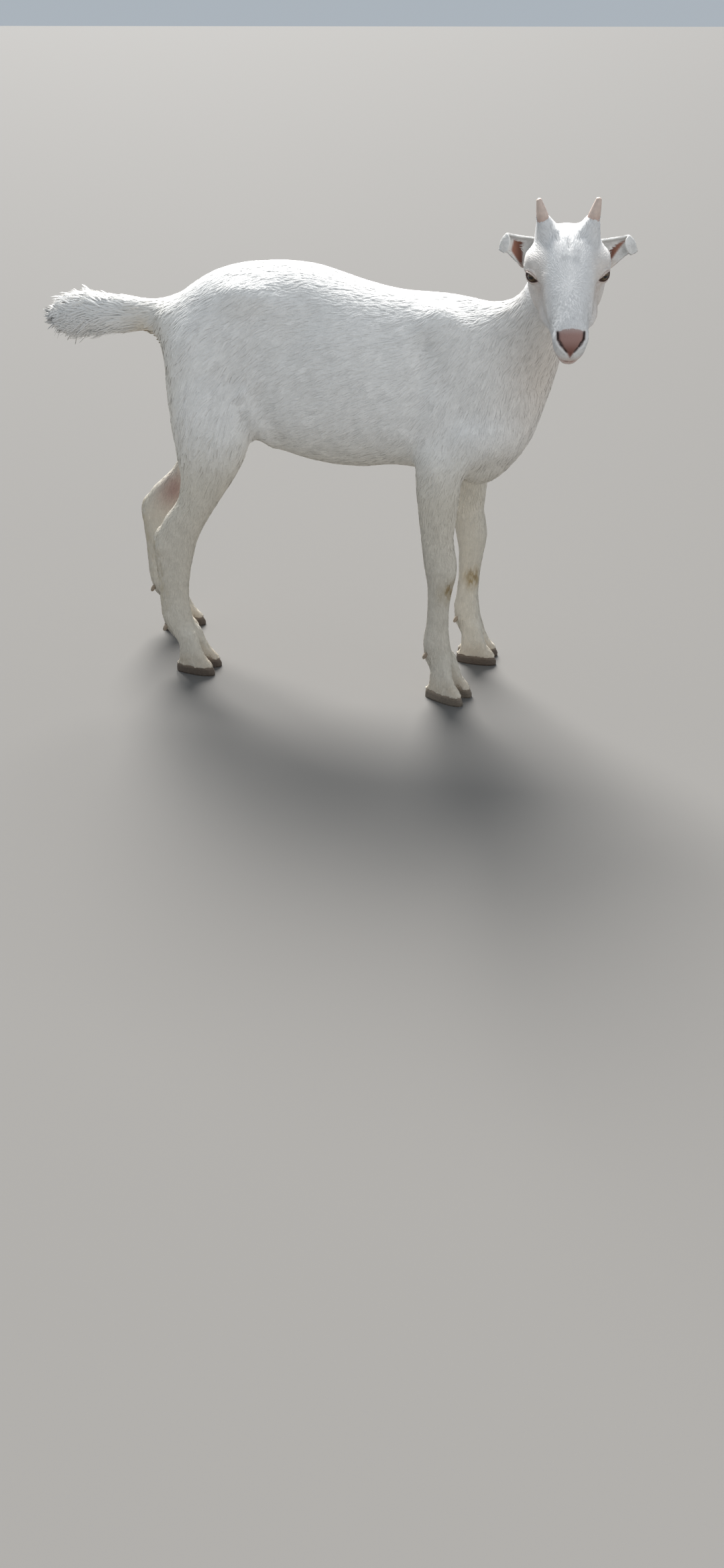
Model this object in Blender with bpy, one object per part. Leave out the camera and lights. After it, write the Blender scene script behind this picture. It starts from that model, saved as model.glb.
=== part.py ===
"""A young white goat, life size, standing with its head turned to its right.

Metres, +Z up. The goat faces +X and its left side is +Y. The body is modelled whole, from lofted
sections and muscle masses melted into one surface, and is then parted by thin flat cuts into the
head, jaw, neck, trunk, tail and legs. Ears, eyes, horns, claws and dewclaws are solids of their own.
The surface stands for the tips of the coat.
"""

import math

import bmesh
import bpy
from mathutils import Matrix, Vector

# Driving dimensions of the whole animal.
CROUP = 0.593  # height over the hips
TRACK = 0.068  # from the middle plane to the middle of each foot
SKIN_VOXEL = 0.004  # the grid that melts the masses together
TRUNK_EASE = 60  # rounds of smoothing over the trunk's muscles
NECK_EASE_END = -0.075  # how far to the right that smoothing reaches
GAP = 0.0006  # the width of every cut between neighbours
FIT = 0.0005  # the room round an eye or a horn in its socket
ROUND = 20  # points round a lofted section

# Trunk sections: x, top, bottom, half width, how much narrower above than below, squareness.
TRUNK = (
    (-0.232, 0.523, 0.482, 0.018, 0.00, 2.0),
    (-0.220, 0.535, 0.450, 0.038, 0.05, 2.1),
    (-0.200, 0.545, 0.408, 0.052, 0.10, 2.2),
    (-0.165, 0.569, 0.384, 0.064, 0.12, 2.3),
    (-0.120, 0.586, 0.364, 0.070, 0.10, 2.4),
    (-0.060, CROUP, 0.342, 0.075, 0.05, 2.4),
    (0.000, 0.590, 0.327, 0.081, 0.00, 2.2),
    (0.060, 0.573, 0.324, 0.085, 0.00, 2.1),
    (0.120, 0.563, 0.331, 0.079, 0.12, 2.1),
    (0.180, 0.563, 0.324, 0.071, 0.28, 2.1),
    (0.230, 0.553, 0.309, 0.061, 0.32, 2.1),
    (0.262, 0.518, 0.326, 0.048, 0.25, 2.1),
    (0.286, 0.462, 0.360, 0.034, 0.00, 2.0),
    (0.297, 0.430, 0.390, 0.015, 0.00, 2.0),
)

# Neck sections: middle x, y, z, lean of the nape behind the vertical, turn to the right (degrees),
# half depth, half width.
NECK = (
    (0.223, 0.000, 0.440, 17, 0, 0.124, 0.058),
    (0.256, 0.000, 0.461, 23, 0, 0.103, 0.050),
    (0.280, -0.002, 0.489, 30, 6, 0.074, 0.043),
    (0.295, -0.008, 0.514, 35, 16, 0.057, 0.039),
    (0.306, -0.018, 0.544, 36, 32, 0.047, 0.036),
    (0.314, -0.032, 0.578, 34, 48, 0.043, 0.035),
    (0.320, -0.048, 0.606, 32, 62, 0.042, 0.034),
)

# Tail sections, root to tip: x, middle z, half height, half width.
TAIL = (
    (-0.200, 0.511, 0.034, 0.028),
    (-0.235, 0.513, 0.028, 0.024),
    (-0.275, 0.513, 0.029, 0.024),
    (-0.320, 0.512, 0.032, 0.026),
    (-0.356, 0.509, 0.031, 0.025),
    (-0.380, 0.506, 0.021, 0.017),
    (-0.390, 0.505, 0.008, 0.007),
)

# Leg sections, top to bottom: z, front x, rear x, y as a share of the track, half width.
FORELEG = (
    (0.430, 0.258, 0.160, 0.50, 0.020),
    (0.395, 0.248, 0.148, 0.68, 0.025),
    (0.365, 0.236, 0.146, 0.82, 0.026),
    (0.336, 0.218, 0.149, 0.91, 0.0255),
    (0.305, 0.2135, 0.1530, 0.96, 0.0240),
    (0.275, 0.2105, 0.1570, 0.98, 0.0220),
    (0.248, 0.2085, 0.1610, 1.00, 0.0200),
    (0.222, 0.2135, 0.1640, 1.00, 0.0205),
    (0.205, 0.2155, 0.1665, 1.00, 0.0205),
    (0.182, 0.2120, 0.1715, 1.00, 0.0175),
    (0.150, 0.2085, 0.1730, 1.00, 0.0160),
    (0.115, 0.2070, 0.1720, 1.00, 0.0160),
    (0.088, 0.2100, 0.1680, 1.00, 0.0180),
    (0.066, 0.2150, 0.1730, 1.00, 0.0165),
    (0.048, 0.2200, 0.1790, 1.00, 0.0150),
)
HINDLEG = (
    (0.520, -0.095, -0.200, 0.42, 0.020),
    (0.480, -0.084, -0.212, 0.58, 0.025),
    (0.435, -0.080, -0.214, 0.70, 0.030),
    (0.385, -0.082, -0.208, 0.80, 0.032),
    (0.345, -0.092, -0.200, 0.90, 0.029),
    (0.310, -0.112, -0.193, 0.95, 0.0250),
    (0.275, -0.136, -0.200, 0.99, 0.0215),
    (0.245, -0.156, -0.224, 1.00, 0.0200),
    (0.214, -0.173, -0.244, 1.00, 0.0195),
    (0.180, -0.184, -0.244, 1.00, 0.0185),
    (0.150, -0.1915, -0.2425, 1.00, 0.0170),
    (0.115, -0.1950, -0.2425, 1.00, 0.0160),
    (0.086, -0.1925, -0.2415, 1.00, 0.0180),
    (0.064, -0.1860, -0.2320, 1.00, 0.0165),
    (0.048, -0.1790, -0.2200, 1.00, 0.0150),
)

# How each leg stands: forward shift of the foot, where the shift starts and ends, turn-out of the
# foot (degrees).
SWING = {
    ("fore", "right"): (0.000, 0.42, 0.27, 16),
    ("fore", "left"): (0.023, 0.42, 0.27, 4),
    ("hind", "right"): (0.000, 0.45, 0.20, 0),
    ("hind", "left"): (-0.075, 0.45, 0.20, 6),
}

# A foot, from the middle of its sole, forward +x and outward +y. Digit sections, top to bottom:
# z, front x, rear x, half width.
FOOT_MIDDLE = {"fore": 0.207, "hind": -0.191}
DIGIT = (
    (0.070, 0.006, -0.028, 0.0090),
    (0.048, 0.013, -0.024, 0.0100),
    (0.030, 0.021, -0.025, 0.0112),
    (0.010, 0.029, -0.027, 0.0112),
)
# Claw sections, heel to toe: x, height, half width.
CLAW = (
    (-0.0290, 0.011, 0.0040),
    (-0.0250, 0.018, 0.0080),
    (-0.0120, 0.024, 0.0104),
    (0.0060, 0.030, 0.0108),
    (0.0190, 0.029, 0.0096),
    (0.0290, 0.017, 0.0068),
    (0.0345, 0.006, 0.0032),
)
CLAW_OFFSET = 0.0125  # from the middle of the foot to the middle of each claw
CLAW_SPLAY = 7  # degrees between a claw and the foot's own line
CORONET = (0.021, 13)  # height of the hair line over the middle of the foot, and its slope
DEWCLAW_LENGTH = 0.0100
DEWCLAW_RADIUS = 0.0058
DEWCLAW_Z = 0.070

# The head has a frame of its own: middle between the eyes, +x along the muzzle, +z out of the brow.
HEAD_PLACE = (0.3360, -0.105, 0.6055)
HEAD_TURN = -78.4
HEAD_NOD = 33.0
HEAD_TILT = 4.3
HEAD_SHEAR = 0.05  # the right side of the face sits a little higher than the left
# Skull sections, poll to nose: x, top, bottom, half width, narrowing above, squareness.
SKULL = (
    (-0.080, 0.003, -0.020, 0.014, 0.0, 2.0),
    (-0.071, 0.0145, -0.030, 0.029, 0.0, 2.1),
    (-0.052, 0.0290, -0.036, 0.037, 0.0, 2.2),
    (-0.030, 0.0375, -0.040, 0.041, 0.0, 2.3),
    (-0.008, 0.0355, -0.042, 0.0425, 0.0, 2.5),
    (0.012, 0.0305, -0.040, 0.0395, 0.0, 2.5),
    (0.032, 0.0250, -0.038, 0.0325, 0.03, 2.4),
    (0.052, 0.0200, -0.037, 0.0265, 0.05, 2.4),
    (0.072, 0.0155, -0.037, 0.0225, 0.00, 2.3),
    (0.088, 0.0110, -0.0375, 0.0215, -0.04, 2.2),
    (0.098, 0.0040, -0.0380, 0.0190, -0.05, 2.1),
    (0.1045, -0.0060, -0.0300, 0.0110, 0.0, 2.0),
)
# Lower jaw sections, angle to chin: x, top, bottom, half width, narrowing above, squareness.
JAW = (
    (-0.056, -0.020, -0.052, 0.022, 0.0, 2.0),
    (-0.040, -0.008, -0.066, 0.034, -0.1, 2.2),
    (-0.012, -0.006, -0.066, 0.040, -0.15, 2.2),
    (0.016, -0.010, -0.058, 0.037, -0.1, 2.2),
    (0.042, -0.014, -0.049, 0.0285, 0.0, 2.1),
    (0.066, -0.018, -0.0465, 0.0205, 0.0, 2.1),
    (0.084, -0.022, -0.0500, 0.0175, 0.0, 2.1),
    (0.0965, -0.030, -0.0475, 0.0110, 0.0, 2.0),
)
MOUTH_Z = -0.0365  # the level of the cut between head and jaw
EYE_RADIUS = 0.0112
EYE_PLACE = (0.0015, 0.0370, 0.0030)
HORN_FOOT = (-0.0380, 0.0255, 0.0220)
HORN_BEND = (-0.0440, 0.0290, 0.0425)
HORN_TIP = (-0.0525, 0.0342, 0.0605)
HORN_RADIUS = 0.0082
HORN_TIP_RADIUS = 0.0042
EAR_THICK = 0.0048
# The edges of an ear laid flat, root to tip, as outward and upward distances in the ear's own plane.
EAR_LOWER = (
    (0.034, -0.0320),
    (0.050, -0.0255),
    (0.060, -0.0165),
    (0.069, -0.0080),
    (0.077, -0.0035),
    (0.0855, 0.0000),
    (0.0910, 0.0045),
)
EAR_UPPER = (
    (0.034, 0.0100),
    (0.046, 0.0118),
    (0.058, 0.0134),
    (0.069, 0.0150),
    (0.079, 0.0180),
    (0.088, 0.0175),
    (0.0935, 0.0125),
)
EAR_LIFT = {"left": -0.002, "right": 0.002}
EAR_REACH = {"left": 1.13, "right": 0.975}  # how much longer each ear is, past 50 mm out
EAR_CUP = 0.012
EAR_ROLL = ((0.036, 0.0065), (-0.116, 0.993), 0.0036, 125)  # line, its normal, radius, degrees
EAR_FOLD = ((0.0636, 0.0115), (0.768, 0.640), 0.0042, 157)
EAR_BOW = 0.0040  # how far the fold bulges outward in its middle

# Muscle and bone masses, one for each side: middle x, y, z, half lengths, slope in the side view.
BODY_MASSES = (
    (0.208, 0.041, 0.462, 0.052, 0.027, 0.106, -30),  # shoulder blade
    (0.214, 0.054, 0.380, 0.062, 0.025, 0.038, -18),  # upper arm
    (0.266, 0.032, 0.395, 0.029, 0.026, 0.046, 0),  # point of the shoulder
    (-0.080, 0.046, 0.546, 0.050, 0.022, 0.026, 10),  # hook bone
    (-0.158, 0.044, 0.445, 0.058, 0.030, 0.090, 4),  # thigh
    (-0.204, 0.030, 0.512, 0.024, 0.018, 0.022, 30),  # pin bone
)
HEAD_MASSES = (
    (-0.0125, 0.0360, 0.005, 0.022, 0.0175, 0.0190, 0),  # eye socket
    (-0.012, 0.0380, 0.013, 0.021, 0.0140, 0.0110, 0),  # brow
    (-0.014, 0.0300, -0.028, 0.030, 0.0150, 0.0300, 0),  # cheek
    (0.030, 0.0270, -0.012, 0.030, 0.0080, 0.0140, 12),  # cheekbone
    (0.089, 0.0125, -0.010, 0.015, 0.0095, 0.0150, 20),  # nostril wing
    (-0.039, 0.0245, 0.0230, 0.0170, 0.0155, 0.0230, 20),  # foot of the horn, under its fur
    (-0.0425, 0.0275, 0.0340, 0.0120, 0.0115, 0.0155, 20),  # fur climbing the horn
)

COLOURS = {
    "coat": (0.84, 0.83, 0.80),
    "hoof": (0.15, 0.12, 0.10),
    "horn": (0.62, 0.47, 0.38),
    "eye": (0.35, 0.20, 0.08),
}
ROUGHNESS = {"coat": 0.85, "hoof": 0.55, "horn": 0.45, "eye": 0.08}

# Triangles left on each kind of node.
BUDGET = {
    "head": 1010,
    "lower_jaw": 320,
    "neck": 360,
    "chest": 470,
    "barrel": 400,
    "rump": 420,
    "tail": 200,
    "foreleg_upper": 240,
    "foreleg_lower": 350,
    "hindleg_thigh": 280,
    "hindleg_gaskin": 240,
    "hindleg_lower": 350,
}


def clear_scene():
    for obj in list(bpy.data.objects):
        bpy.data.objects.remove(obj)


def finish_of(name):
    """One plain material of each kind, shared by the nodes made of it."""
    known = bpy.data.materials.get(name)
    if known:
        return known
    made = bpy.data.materials.new(name)
    made.use_nodes = True
    shader = made.node_tree.nodes["Principled BSDF"]
    shader.inputs["Base Color"].default_value = (*COLOURS[name], 1.0)
    shader.inputs["Roughness"].default_value = ROUGHNESS[name]
    return made


def node(name, bm, finish):
    """An object of the scene from a bmesh, shaded smooth, with its finish."""
    mesh = bpy.data.meshes.new(name)
    bmesh.ops.recalc_face_normals(bm, faces=bm.faces)
    bmesh.ops.triangulate(bm, faces=bm.faces)
    bm.to_mesh(mesh)
    bm.free()
    mesh.shade_smooth()
    mesh.set_sharp_from_angle(angle=math.radians(50))
    mesh.materials.append(finish_of(finish))
    obj = bpy.data.objects.new(name, mesh)
    bpy.context.scene.collection.objects.link(obj)
    return obj


def evaluated(obj):
    """A bmesh of the object with its modifiers applied."""
    graph = bpy.context.evaluated_depsgraph_get()
    bm = bmesh.new()
    bm.from_object(obj, graph)
    return bm


def between(rows, step):
    """The rows of a table as a smooth curve, read about every `step` metres along the first three."""
    rows = [list(map(float, row)) for row in rows]
    at = [0.0]
    for one, two in zip(rows, rows[1:]):
        at.append(at[-1] + max(1e-6, (Vector(two[:3]) - Vector(one[:3])).length))
    slopes = []
    for i, row in enumerate(rows):
        low, high = max(0, i - 1), min(len(rows) - 1, i + 1)
        span = at[high] - at[low]
        slopes.append([(b - a) / span for a, b in zip(rows[low], rows[high])])
    out = []
    for i in range(len(rows) - 1):
        length = at[i + 1] - at[i]
        count = max(1, round(length / step))
        for k in range(count):
            t = k / count
            h1, h2 = 2 * t**3 - 3 * t**2 + 1, 3 * t**2 - 2 * t**3
            h3, h4 = (t**3 - 2 * t**2 + t) * length, (t**3 - t**2) * length
            out.append(
                [
                    h1 * a + h2 * b + h3 * p + h4 * q
                    for a, b, p, q in zip(rows[i], rows[i + 1], slopes[i], slopes[i + 1])
                ]
            )
    out.append(rows[-1])
    return out


def loft(bm, sections, points=ROUND):
    """A closed tube through sections of (middle, up vector, side vector, narrowing above, squareness)."""
    rings = []
    for middle, up, side, narrow, square in sections:
        made = bmesh.ops.create_circle(bm, segments=points, radius=1.0)["verts"]
        for vert in made:
            angle = math.atan2(vert.co.y, vert.co.x)
            across, along = math.cos(angle), math.sin(angle)
            across = math.copysign(abs(across) ** (2 / square), across)
            along = math.copysign(abs(along) ** (2 / square), along)
            vert.co = middle + side * across * (1 - narrow * along) + up * along
        rings.append(made)
    for one, two in zip(rings, rings[1:]):
        edges = {edge for vert in one + two for edge in vert.link_edges}
        ring_edges = [e for e in edges if all(v in one for v in e.verts) or all(v in two for v in e.verts)]
        bmesh.ops.bridge_loops(bm, edges=ring_edges)
    for ring in (rings[0], rings[-1]):
        bmesh.ops.contextual_create(bm, geom=ring)


def upright(rows, step):
    """Sections standing across X, from rows of x, top, bottom, half width, narrowing, squareness."""
    for x, top, bottom, width, narrow, square in between(rows, step):
        middle = Vector((x, 0, (top + bottom) / 2))
        yield middle, Vector((0, 0, (top - bottom) / 2)), Vector((0, width, 0)), narrow, square


def mass(bm, middle, half, slope=0.0):
    """A closed ellipsoid, its long axes turned by `slope` degrees in the side view."""
    place = (
        Matrix.Translation(middle)
        @ Matrix.Rotation(math.radians(slope), 4, "Y")
        @ Matrix.Diagonal((*half, 1))
    )
    bmesh.ops.create_icosphere(bm, subdivisions=3, radius=1.0, matrix=place)


def head_frame():
    """The head's own frame in the body's."""
    return (
        Matrix.Translation(HEAD_PLACE)
        @ Matrix.Rotation(math.radians(HEAD_TURN), 4, "Z")
        @ Matrix.Rotation(math.radians(HEAD_NOD), 4, "Y")
        @ Matrix.Rotation(math.radians(HEAD_TILT), 4, "X")
        @ Matrix(((1, 0, 0, 0), (0, 1, 0, 0), (0, -HEAD_SHEAR, 1, 0), (0, 0, 0, 1)))
    )


def sided(place, side):
    """A place given for the left side, on the side asked for."""
    return Vector((place[0], place[1] * side, place[2]))


def swung(end, flank, z):
    """How far forward a leg's section stands at height z."""
    shift, start, stop, _ = SWING[end, flank]
    part = min(1.0, max(0.0, (start - z) / (start - stop)))
    return shift * part * part * (3 - 2 * part)


def foot_frame(end, flank):
    """The foot's own frame: middle of the sole, forward, and outward for a left foot."""
    side = 1 if flank == "left" else -1
    shift, _, _, turn = SWING[end, flank]
    return Matrix.Translation((FOOT_MIDDLE[end] + shift, TRACK * side, 0)) @ Matrix.Rotation(
        math.radians(turn * side), 4, "Z"
    )


def claw_frame(end, flank, claw):
    """The frame of one claw: claw is 1 for the outer and -1 for the inner."""
    side = 1 if flank == "left" else -1
    return (
        foot_frame(end, flank)
        @ Matrix.Translation((0, CLAW_OFFSET * claw * side, 0))
        @ Matrix.Rotation(math.radians(CLAW_SPLAY * claw * side), 4, "Z")
    )


def add_leg(bm, end, flank):
    """One leg from inside the trunk down to the two digits."""
    side = 1 if flank == "left" else -1
    sections = []
    table = FORELEG if end == "fore" else HINDLEG
    rows = [((f + r) / 2, y * TRACK * side, z, (f - r) / 2, w) for z, f, r, y, w in table]
    for x, y, z, depth, width in between(rows, 0.010):
        middle = Vector((x + swung(end, flank, z), y, z))
        sections.append((middle, Vector((depth, 0, 0)), Vector((0, width, 0)), 0.0, 2.1))
    loft(bm, sections)
    for claw in (1, -1):
        place = claw_frame(end, flank, claw)
        turn = place.to_3x3()
        digit = []
        for z, front, rear, width in DIGIT:
            middle = place @ Vector(((front + rear) / 2, 0, z))
            depth = turn @ Vector(((front - rear) / 2, 0, 0))
            digit.append((middle, depth, turn @ Vector((0, width, 0)), 0.0, 2.3))
        loft(bm, digit, 16)


def add_neck(bm):
    sections = []
    for x, y, z, lean, turn, depth, width in between(NECK, 0.012):
        frame = Matrix.Rotation(math.radians(-turn), 3, "Z") @ Matrix.Rotation(math.radians(-lean), 3, "Y")
        sections.append(
            (Vector((x, y, z)), frame @ Vector((0, 0, depth)), frame @ Vector((0, width, 0)), 0.05, 2.1)
        )
    loft(bm, sections)


def add_tail(bm):
    sections = []
    for x, z, height, width in between([(row[0], row[1], *row[2:]) for row in TAIL], 0.012):
        sections.append((Vector((x, 0, z)), Vector((0, 0, height)), Vector((0, width, 0)), 0.0, 2.0))
    loft(bm, sections)


def add_head(bm):
    """The skull, jaw and face masses, shaped in the head's frame and set on the neck."""
    head = bmesh.new()
    loft(head, list(upright(SKULL, 0.007)))
    loft(head, list(upright(JAW, 0.007)))
    for x, y, z, *half, slope in HEAD_MASSES:
        for side in (1, -1):
            mass(head, sided((x, y, z), side), half, slope)
    bmesh.ops.transform(head, matrix=head_frame(), verts=head.verts)
    shape = bpy.data.meshes.new("head_shape")
    head.to_mesh(shape)
    head.free()
    bm.from_mesh(shape)
    bpy.data.meshes.remove(shape)


def whole_body():
    """The whole flesh as one melted surface."""
    bm = bmesh.new()
    loft(bm, list(upright(TRUNK, 0.014)), 28)
    for x, y, z, *half, slope in BODY_MASSES:
        for side in (1, -1):
            mass(bm, sided((x, y, z), side), half, slope)
    add_neck(bm)
    add_tail(bm)
    add_head(bm)
    for end, flank in SWING:
        add_leg(bm, end, flank)
    body = node("whole_body", bm, "coat")
    body.hide_render = True
    body.display_type = "WIRE"
    melt = body.modifiers.new("melt", "REMESH")
    melt.mode = "VOXEL"
    melt.voxel_size = SKIN_VOXEL
    ease = body.modifiers.new("ease", "SMOOTH")
    ease.factor = 0.5
    ease.iterations = 9
    return body


def ease_trunk(bm):
    """Smooths the muscles of the trunk and neck into each other, less and less towards the legs."""
    for turn in range(TRUNK_EASE):
        low = 0.335 + 0.0013 * turn
        right = NECK_EASE_END + 0.0006 * turn
        soft = [vert for vert in bm.verts if vert.co.z > low and vert.co.y > right]
        bmesh.ops.smooth_vert(bm, verts=soft, factor=0.5, use_axis_x=True, use_axis_y=True, use_axis_z=True)


def cut(bm, planes):
    """Keeps what lies behind every plane, each moved back by half a gap, and closes it."""
    for point, normal in planes:
        normal = Vector(normal).normalized()
        point = Vector(point) - normal * (GAP / 2)
        bmesh.ops.bisect_plane(
            bm,
            geom=bm.verts[:] + bm.edges[:] + bm.faces[:],
            dist=1e-5,
            plane_co=point,
            plane_no=normal,
            clear_outer=True,
        )
        rim = [edge for edge in bm.edges if edge.is_boundary]
        if rim:
            bmesh.ops.holes_fill(bm, edges=rim, sides=0)
            bmesh.ops.triangulate(bm, faces=[face for face in bm.faces if len(face.verts) > 4])


def keep_largest(bm):
    """Drops every loose scrap but the largest."""
    bm.verts.ensure_lookup_table()
    left = set(bm.verts)
    groups = []
    while left:
        group, stack = set(), [left.pop()]
        while stack:
            vert = stack.pop()
            group.add(vert)
            near = {edge.other_vert(vert) for edge in vert.link_edges} & left
            left -= near
            stack.extend(near)
        groups.append(group)
    groups.sort(key=len, reverse=True)
    for group in groups[1:]:
        bmesh.ops.delete(bm, geom=list(group), context="VERTS")


def thinned(name, bm, triangles):
    """The mesh as a node of about that many triangles."""
    obj = node(name, bm, "coat")
    now = len(obj.data.polygons)
    fewer = obj.modifiers.new("fewer", "DECIMATE")
    fewer.ratio = min(1.0, triangles / now)
    return obj


def flipped(plane):
    return plane[0], tuple(-value for value in plane[1])


def placed(plane, frame):
    """A plane given in a frame of its own, in the body's frame."""
    return tuple(frame @ Vector(plane[0])), tuple(frame.to_3x3() @ Vector(plane[1]))


def coronet_plane(end, flank):
    """The slanting plane of the hair line over the claws, facing down."""
    height, slope = CORONET
    tilt = math.radians(slope)
    return placed(((0, 0, height), (math.sin(tilt), 0, -math.cos(tilt))), foot_frame(end, flank))


# Cutting planes: a point and the way the plane faces.
NECK_CUT = ((0.262, 0, 0.450), (0.951, 0, 0.310))
HEAD_CUT = ((-0.0500, 0, -0.0324), (0.586, 0, 0.809))
JAW_CUT = ((0, 0, MOUTH_Z), (0, 0, -1))
CHEST_CUT = ((0.095, 0, 0.400), (1, 0, 0))
FLANK_CUT = ((-0.074, 0, 0.400), (-1, 0, 0))
TAIL_CUT = ((-0.228, 0, 0.500), (-1, 0, 0))
MIDDLE_CUT = ((0, 0, 0), (0, 1, 0))
KNEE_CUT = ((0, 0, 0.196), (0, 0, -1))
STIFLE_CUT = ((0, 0, 0.322), (0.25, 0, -0.97))
HOCK_CUT = ((0, 0, 0.182), (0, 0, -1))


def armpit_cut(side):
    return (0, 0, 0.300), (0, 0.70 * side, -0.71)


def groin_cut(side):
    return (0, 0, 0.345), (0, 0.842 * side, -0.539)


def body_nodes(body):
    """Every node of flesh as its name and the planes that bound it."""
    head_cut = placed(HEAD_CUT, head_frame())
    jaw_cut = placed(JAW_CUT, head_frame())
    regions = {
        "head": [flipped(head_cut), flipped(NECK_CUT), jaw_cut],
        "lower_jaw": [flipped(head_cut), flipped(NECK_CUT), flipped(jaw_cut)],
        "neck": [head_cut, flipped(NECK_CUT)],
        "chest": [NECK_CUT, flipped(CHEST_CUT), armpit_cut(1), armpit_cut(-1)],
        "barrel": [CHEST_CUT, FLANK_CUT],
        "rump": [flipped(FLANK_CUT), TAIL_CUT, groin_cut(1), groin_cut(-1)],
        "tail": [flipped(TAIL_CUT), groin_cut(1), groin_cut(-1)],
    }
    for flank, side in (("left", 1), ("right", -1)):
        middle = MIDDLE_CUT if side < 0 else flipped(MIDDLE_CUT)
        for end in ("fore", "hind"):
            crown = coronet_plane(end, flank)
            if end == "fore":
                top = [NECK_CUT, flipped(CHEST_CUT), flipped(armpit_cut(side)), middle]
                regions[f"foreleg_upper_{flank}"] = [*top, KNEE_CUT]
                regions[f"foreleg_lower_{flank}"] = [*top, flipped(KNEE_CUT), crown]
            else:
                top = [flipped(FLANK_CUT), flipped(groin_cut(side)), middle]
                regions[f"hindleg_thigh_{flank}"] = [*top, STIFLE_CUT]
                regions[f"hindleg_gaskin_{flank}"] = [*top, flipped(STIFLE_CUT), HOCK_CUT]
                regions[f"hindleg_lower_{flank}"] = [*top, flipped(HOCK_CUT), crown]
    made = {}
    for name, planes in regions.items():
        piece = body.copy()
        cut(piece, planes)
        keep_largest(piece)
        kind = name.removesuffix("_left").removesuffix("_right")
        made[name] = thinned(name, piece, BUDGET[kind])
    return made


def swollen(obj, name, amount):
    """A hidden cutter: the object's shape, grown by `amount` all round."""
    bm = evaluated(obj)
    bmesh.ops.recalc_face_normals(bm, faces=bm.faces)
    bm.normal_update()
    for vert, normal in [(vert, vert.normal.copy()) for vert in bm.verts]:
        vert.co += normal * amount * vert.calc_shell_factor()
    cutter = node(name, bm, "coat")
    cutter.hide_render = True
    cutter.display_type = "WIRE"
    return cutter


def subtract(obj, cutter):
    hole = obj.modifiers.new("less_" + cutter.name, "BOOLEAN")
    hole.operation = "DIFFERENCE"
    hole.solver = "EXACT"
    hole.object = cutter


def make_eye(flank, side, head):
    """An eyeball, loose in a socket of the head."""
    frame = head_frame()
    place = frame @ Matrix.Translation(sided(EYE_PLACE, side))
    bm = bmesh.new()
    bmesh.ops.create_uvsphere(bm, u_segments=14, v_segments=8, radius=EYE_RADIUS, matrix=place)
    eye = node(f"eye_{flank}", bm, "eye")
    subtract(head, swollen(eye, f"socket_{flank}", FIT))
    return eye


def make_horn(flank, side, head):
    """A short curved horn, its foot let into the fur of the brow."""
    frame = head_frame()
    points = [frame @ sided(place, side) for place in (HORN_FOOT, HORN_BEND, HORN_TIP)]
    rows = [
        (*points[0], HORN_RADIUS),
        (*points[1], HORN_RADIUS * 0.80),
        (*points[2], HORN_TIP_RADIUS),
    ]
    end = points[2] + (points[2] - points[1]).normalized() * HORN_TIP_RADIUS * 0.8
    path = [*between(rows, 0.007), [*end, HORN_TIP_RADIUS * 0.4]]
    sections = []
    for i, (x, y, z, radius) in enumerate(path):
        low, high = Vector(path[max(0, i - 1)][:3]), Vector(path[min(len(path) - 1, i + 1)][:3])
        turn = (high - low).to_track_quat("Z", "Y").to_matrix()
        up, aside = turn @ Vector((0, radius, 0)), turn @ Vector((radius, 0, 0))
        sections.append((Vector((x, y, z)), up, aside, 0, 2))
    bm = bmesh.new()
    loft(bm, sections, 10)
    horn = node(f"horn_{flank}", bm, "horn")
    subtract(head, swollen(horn, f"horn_socket_{flank}", FIT))
    return horn


def rolled(point, line, normal, radius, degrees, bow=0.0):
    """A point of a leaf (outward, upward, forward), rolled forward if it lies past a line."""
    away = point - Vector((*line, 0))
    beside = away.dot(Vector((-normal[1], normal[0], 0))) / 0.012
    past = away.dot(Vector((*normal, 0))) - bow * max(0, 1 - (beside + 0.6) ** 2)
    if past <= 0:
        return point
    most = math.radians(degrees)
    turn = min(past / radius, most)
    rest = past - radius * turn
    back = radius * math.sin(turn) + rest * math.cos(turn) - past
    forward = radius * (1 - math.cos(turn)) + rest * math.sin(turn)
    return point + Vector((*normal, 0)) * back + Vector((0, 0, forward))


def make_ear(flank, side, head):
    """A short cupped ear, open to the front, its upper edge rolled and its tip folded over."""
    bm = bmesh.new()
    bmesh.ops.create_grid(bm, x_segments=9, y_segments=6, size=1.0)
    lower, upper = (between([(*row, 0) for row in rows], 0.0002) for rows in (EAR_LOWER, EAR_UPPER))
    for vert in bm.verts:
        along, across = (vert.co.x + 1) / 2, vert.co.y
        low = Vector(lower[int(along * (len(lower) - 1))])
        high = Vector(upper[int(along * (len(upper) - 1))])
        flat = low.lerp(high, (across + 1) / 2)
        leaf = rolled(flat, *EAR_FOLD, EAR_BOW)
        if leaf == flat:
            line, normal, radius, degrees = EAR_ROLL
            leaf = rolled(flat, line, normal, radius, degrees * max(0, 1 - along * 1.6))
        leaf.z -= EAR_CUP * (1 - across * across) * max(0, 1 - along * 1.3)
        leaf.x += max(0, leaf.x - 0.050) * (EAR_REACH[flank] - 1)
        leaf.y += EAR_LIFT[flank]
        vert.co = (
            -0.045 - 0.54 * leaf.y + 0.84 * leaf.z,
            leaf.x * side,
            0.84 * leaf.y + 0.54 * leaf.z,
        )
    bmesh.ops.transform(bm, matrix=head_frame(), verts=bm.verts)
    bmesh.ops.recalc_face_normals(bm, faces=bm.faces)
    ear = node(f"ear_{flank}", bm, "coat")
    thick = ear.modifiers.new("thick", "SOLIDIFY")
    thick.thickness = EAR_THICK
    thick.offset = 0.0
    ease = ear.modifiers.new("ease", "SMOOTH")
    ease.factor = 0.4
    ease.iterations = 2
    subtract(ear, head)
    return ear


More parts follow.
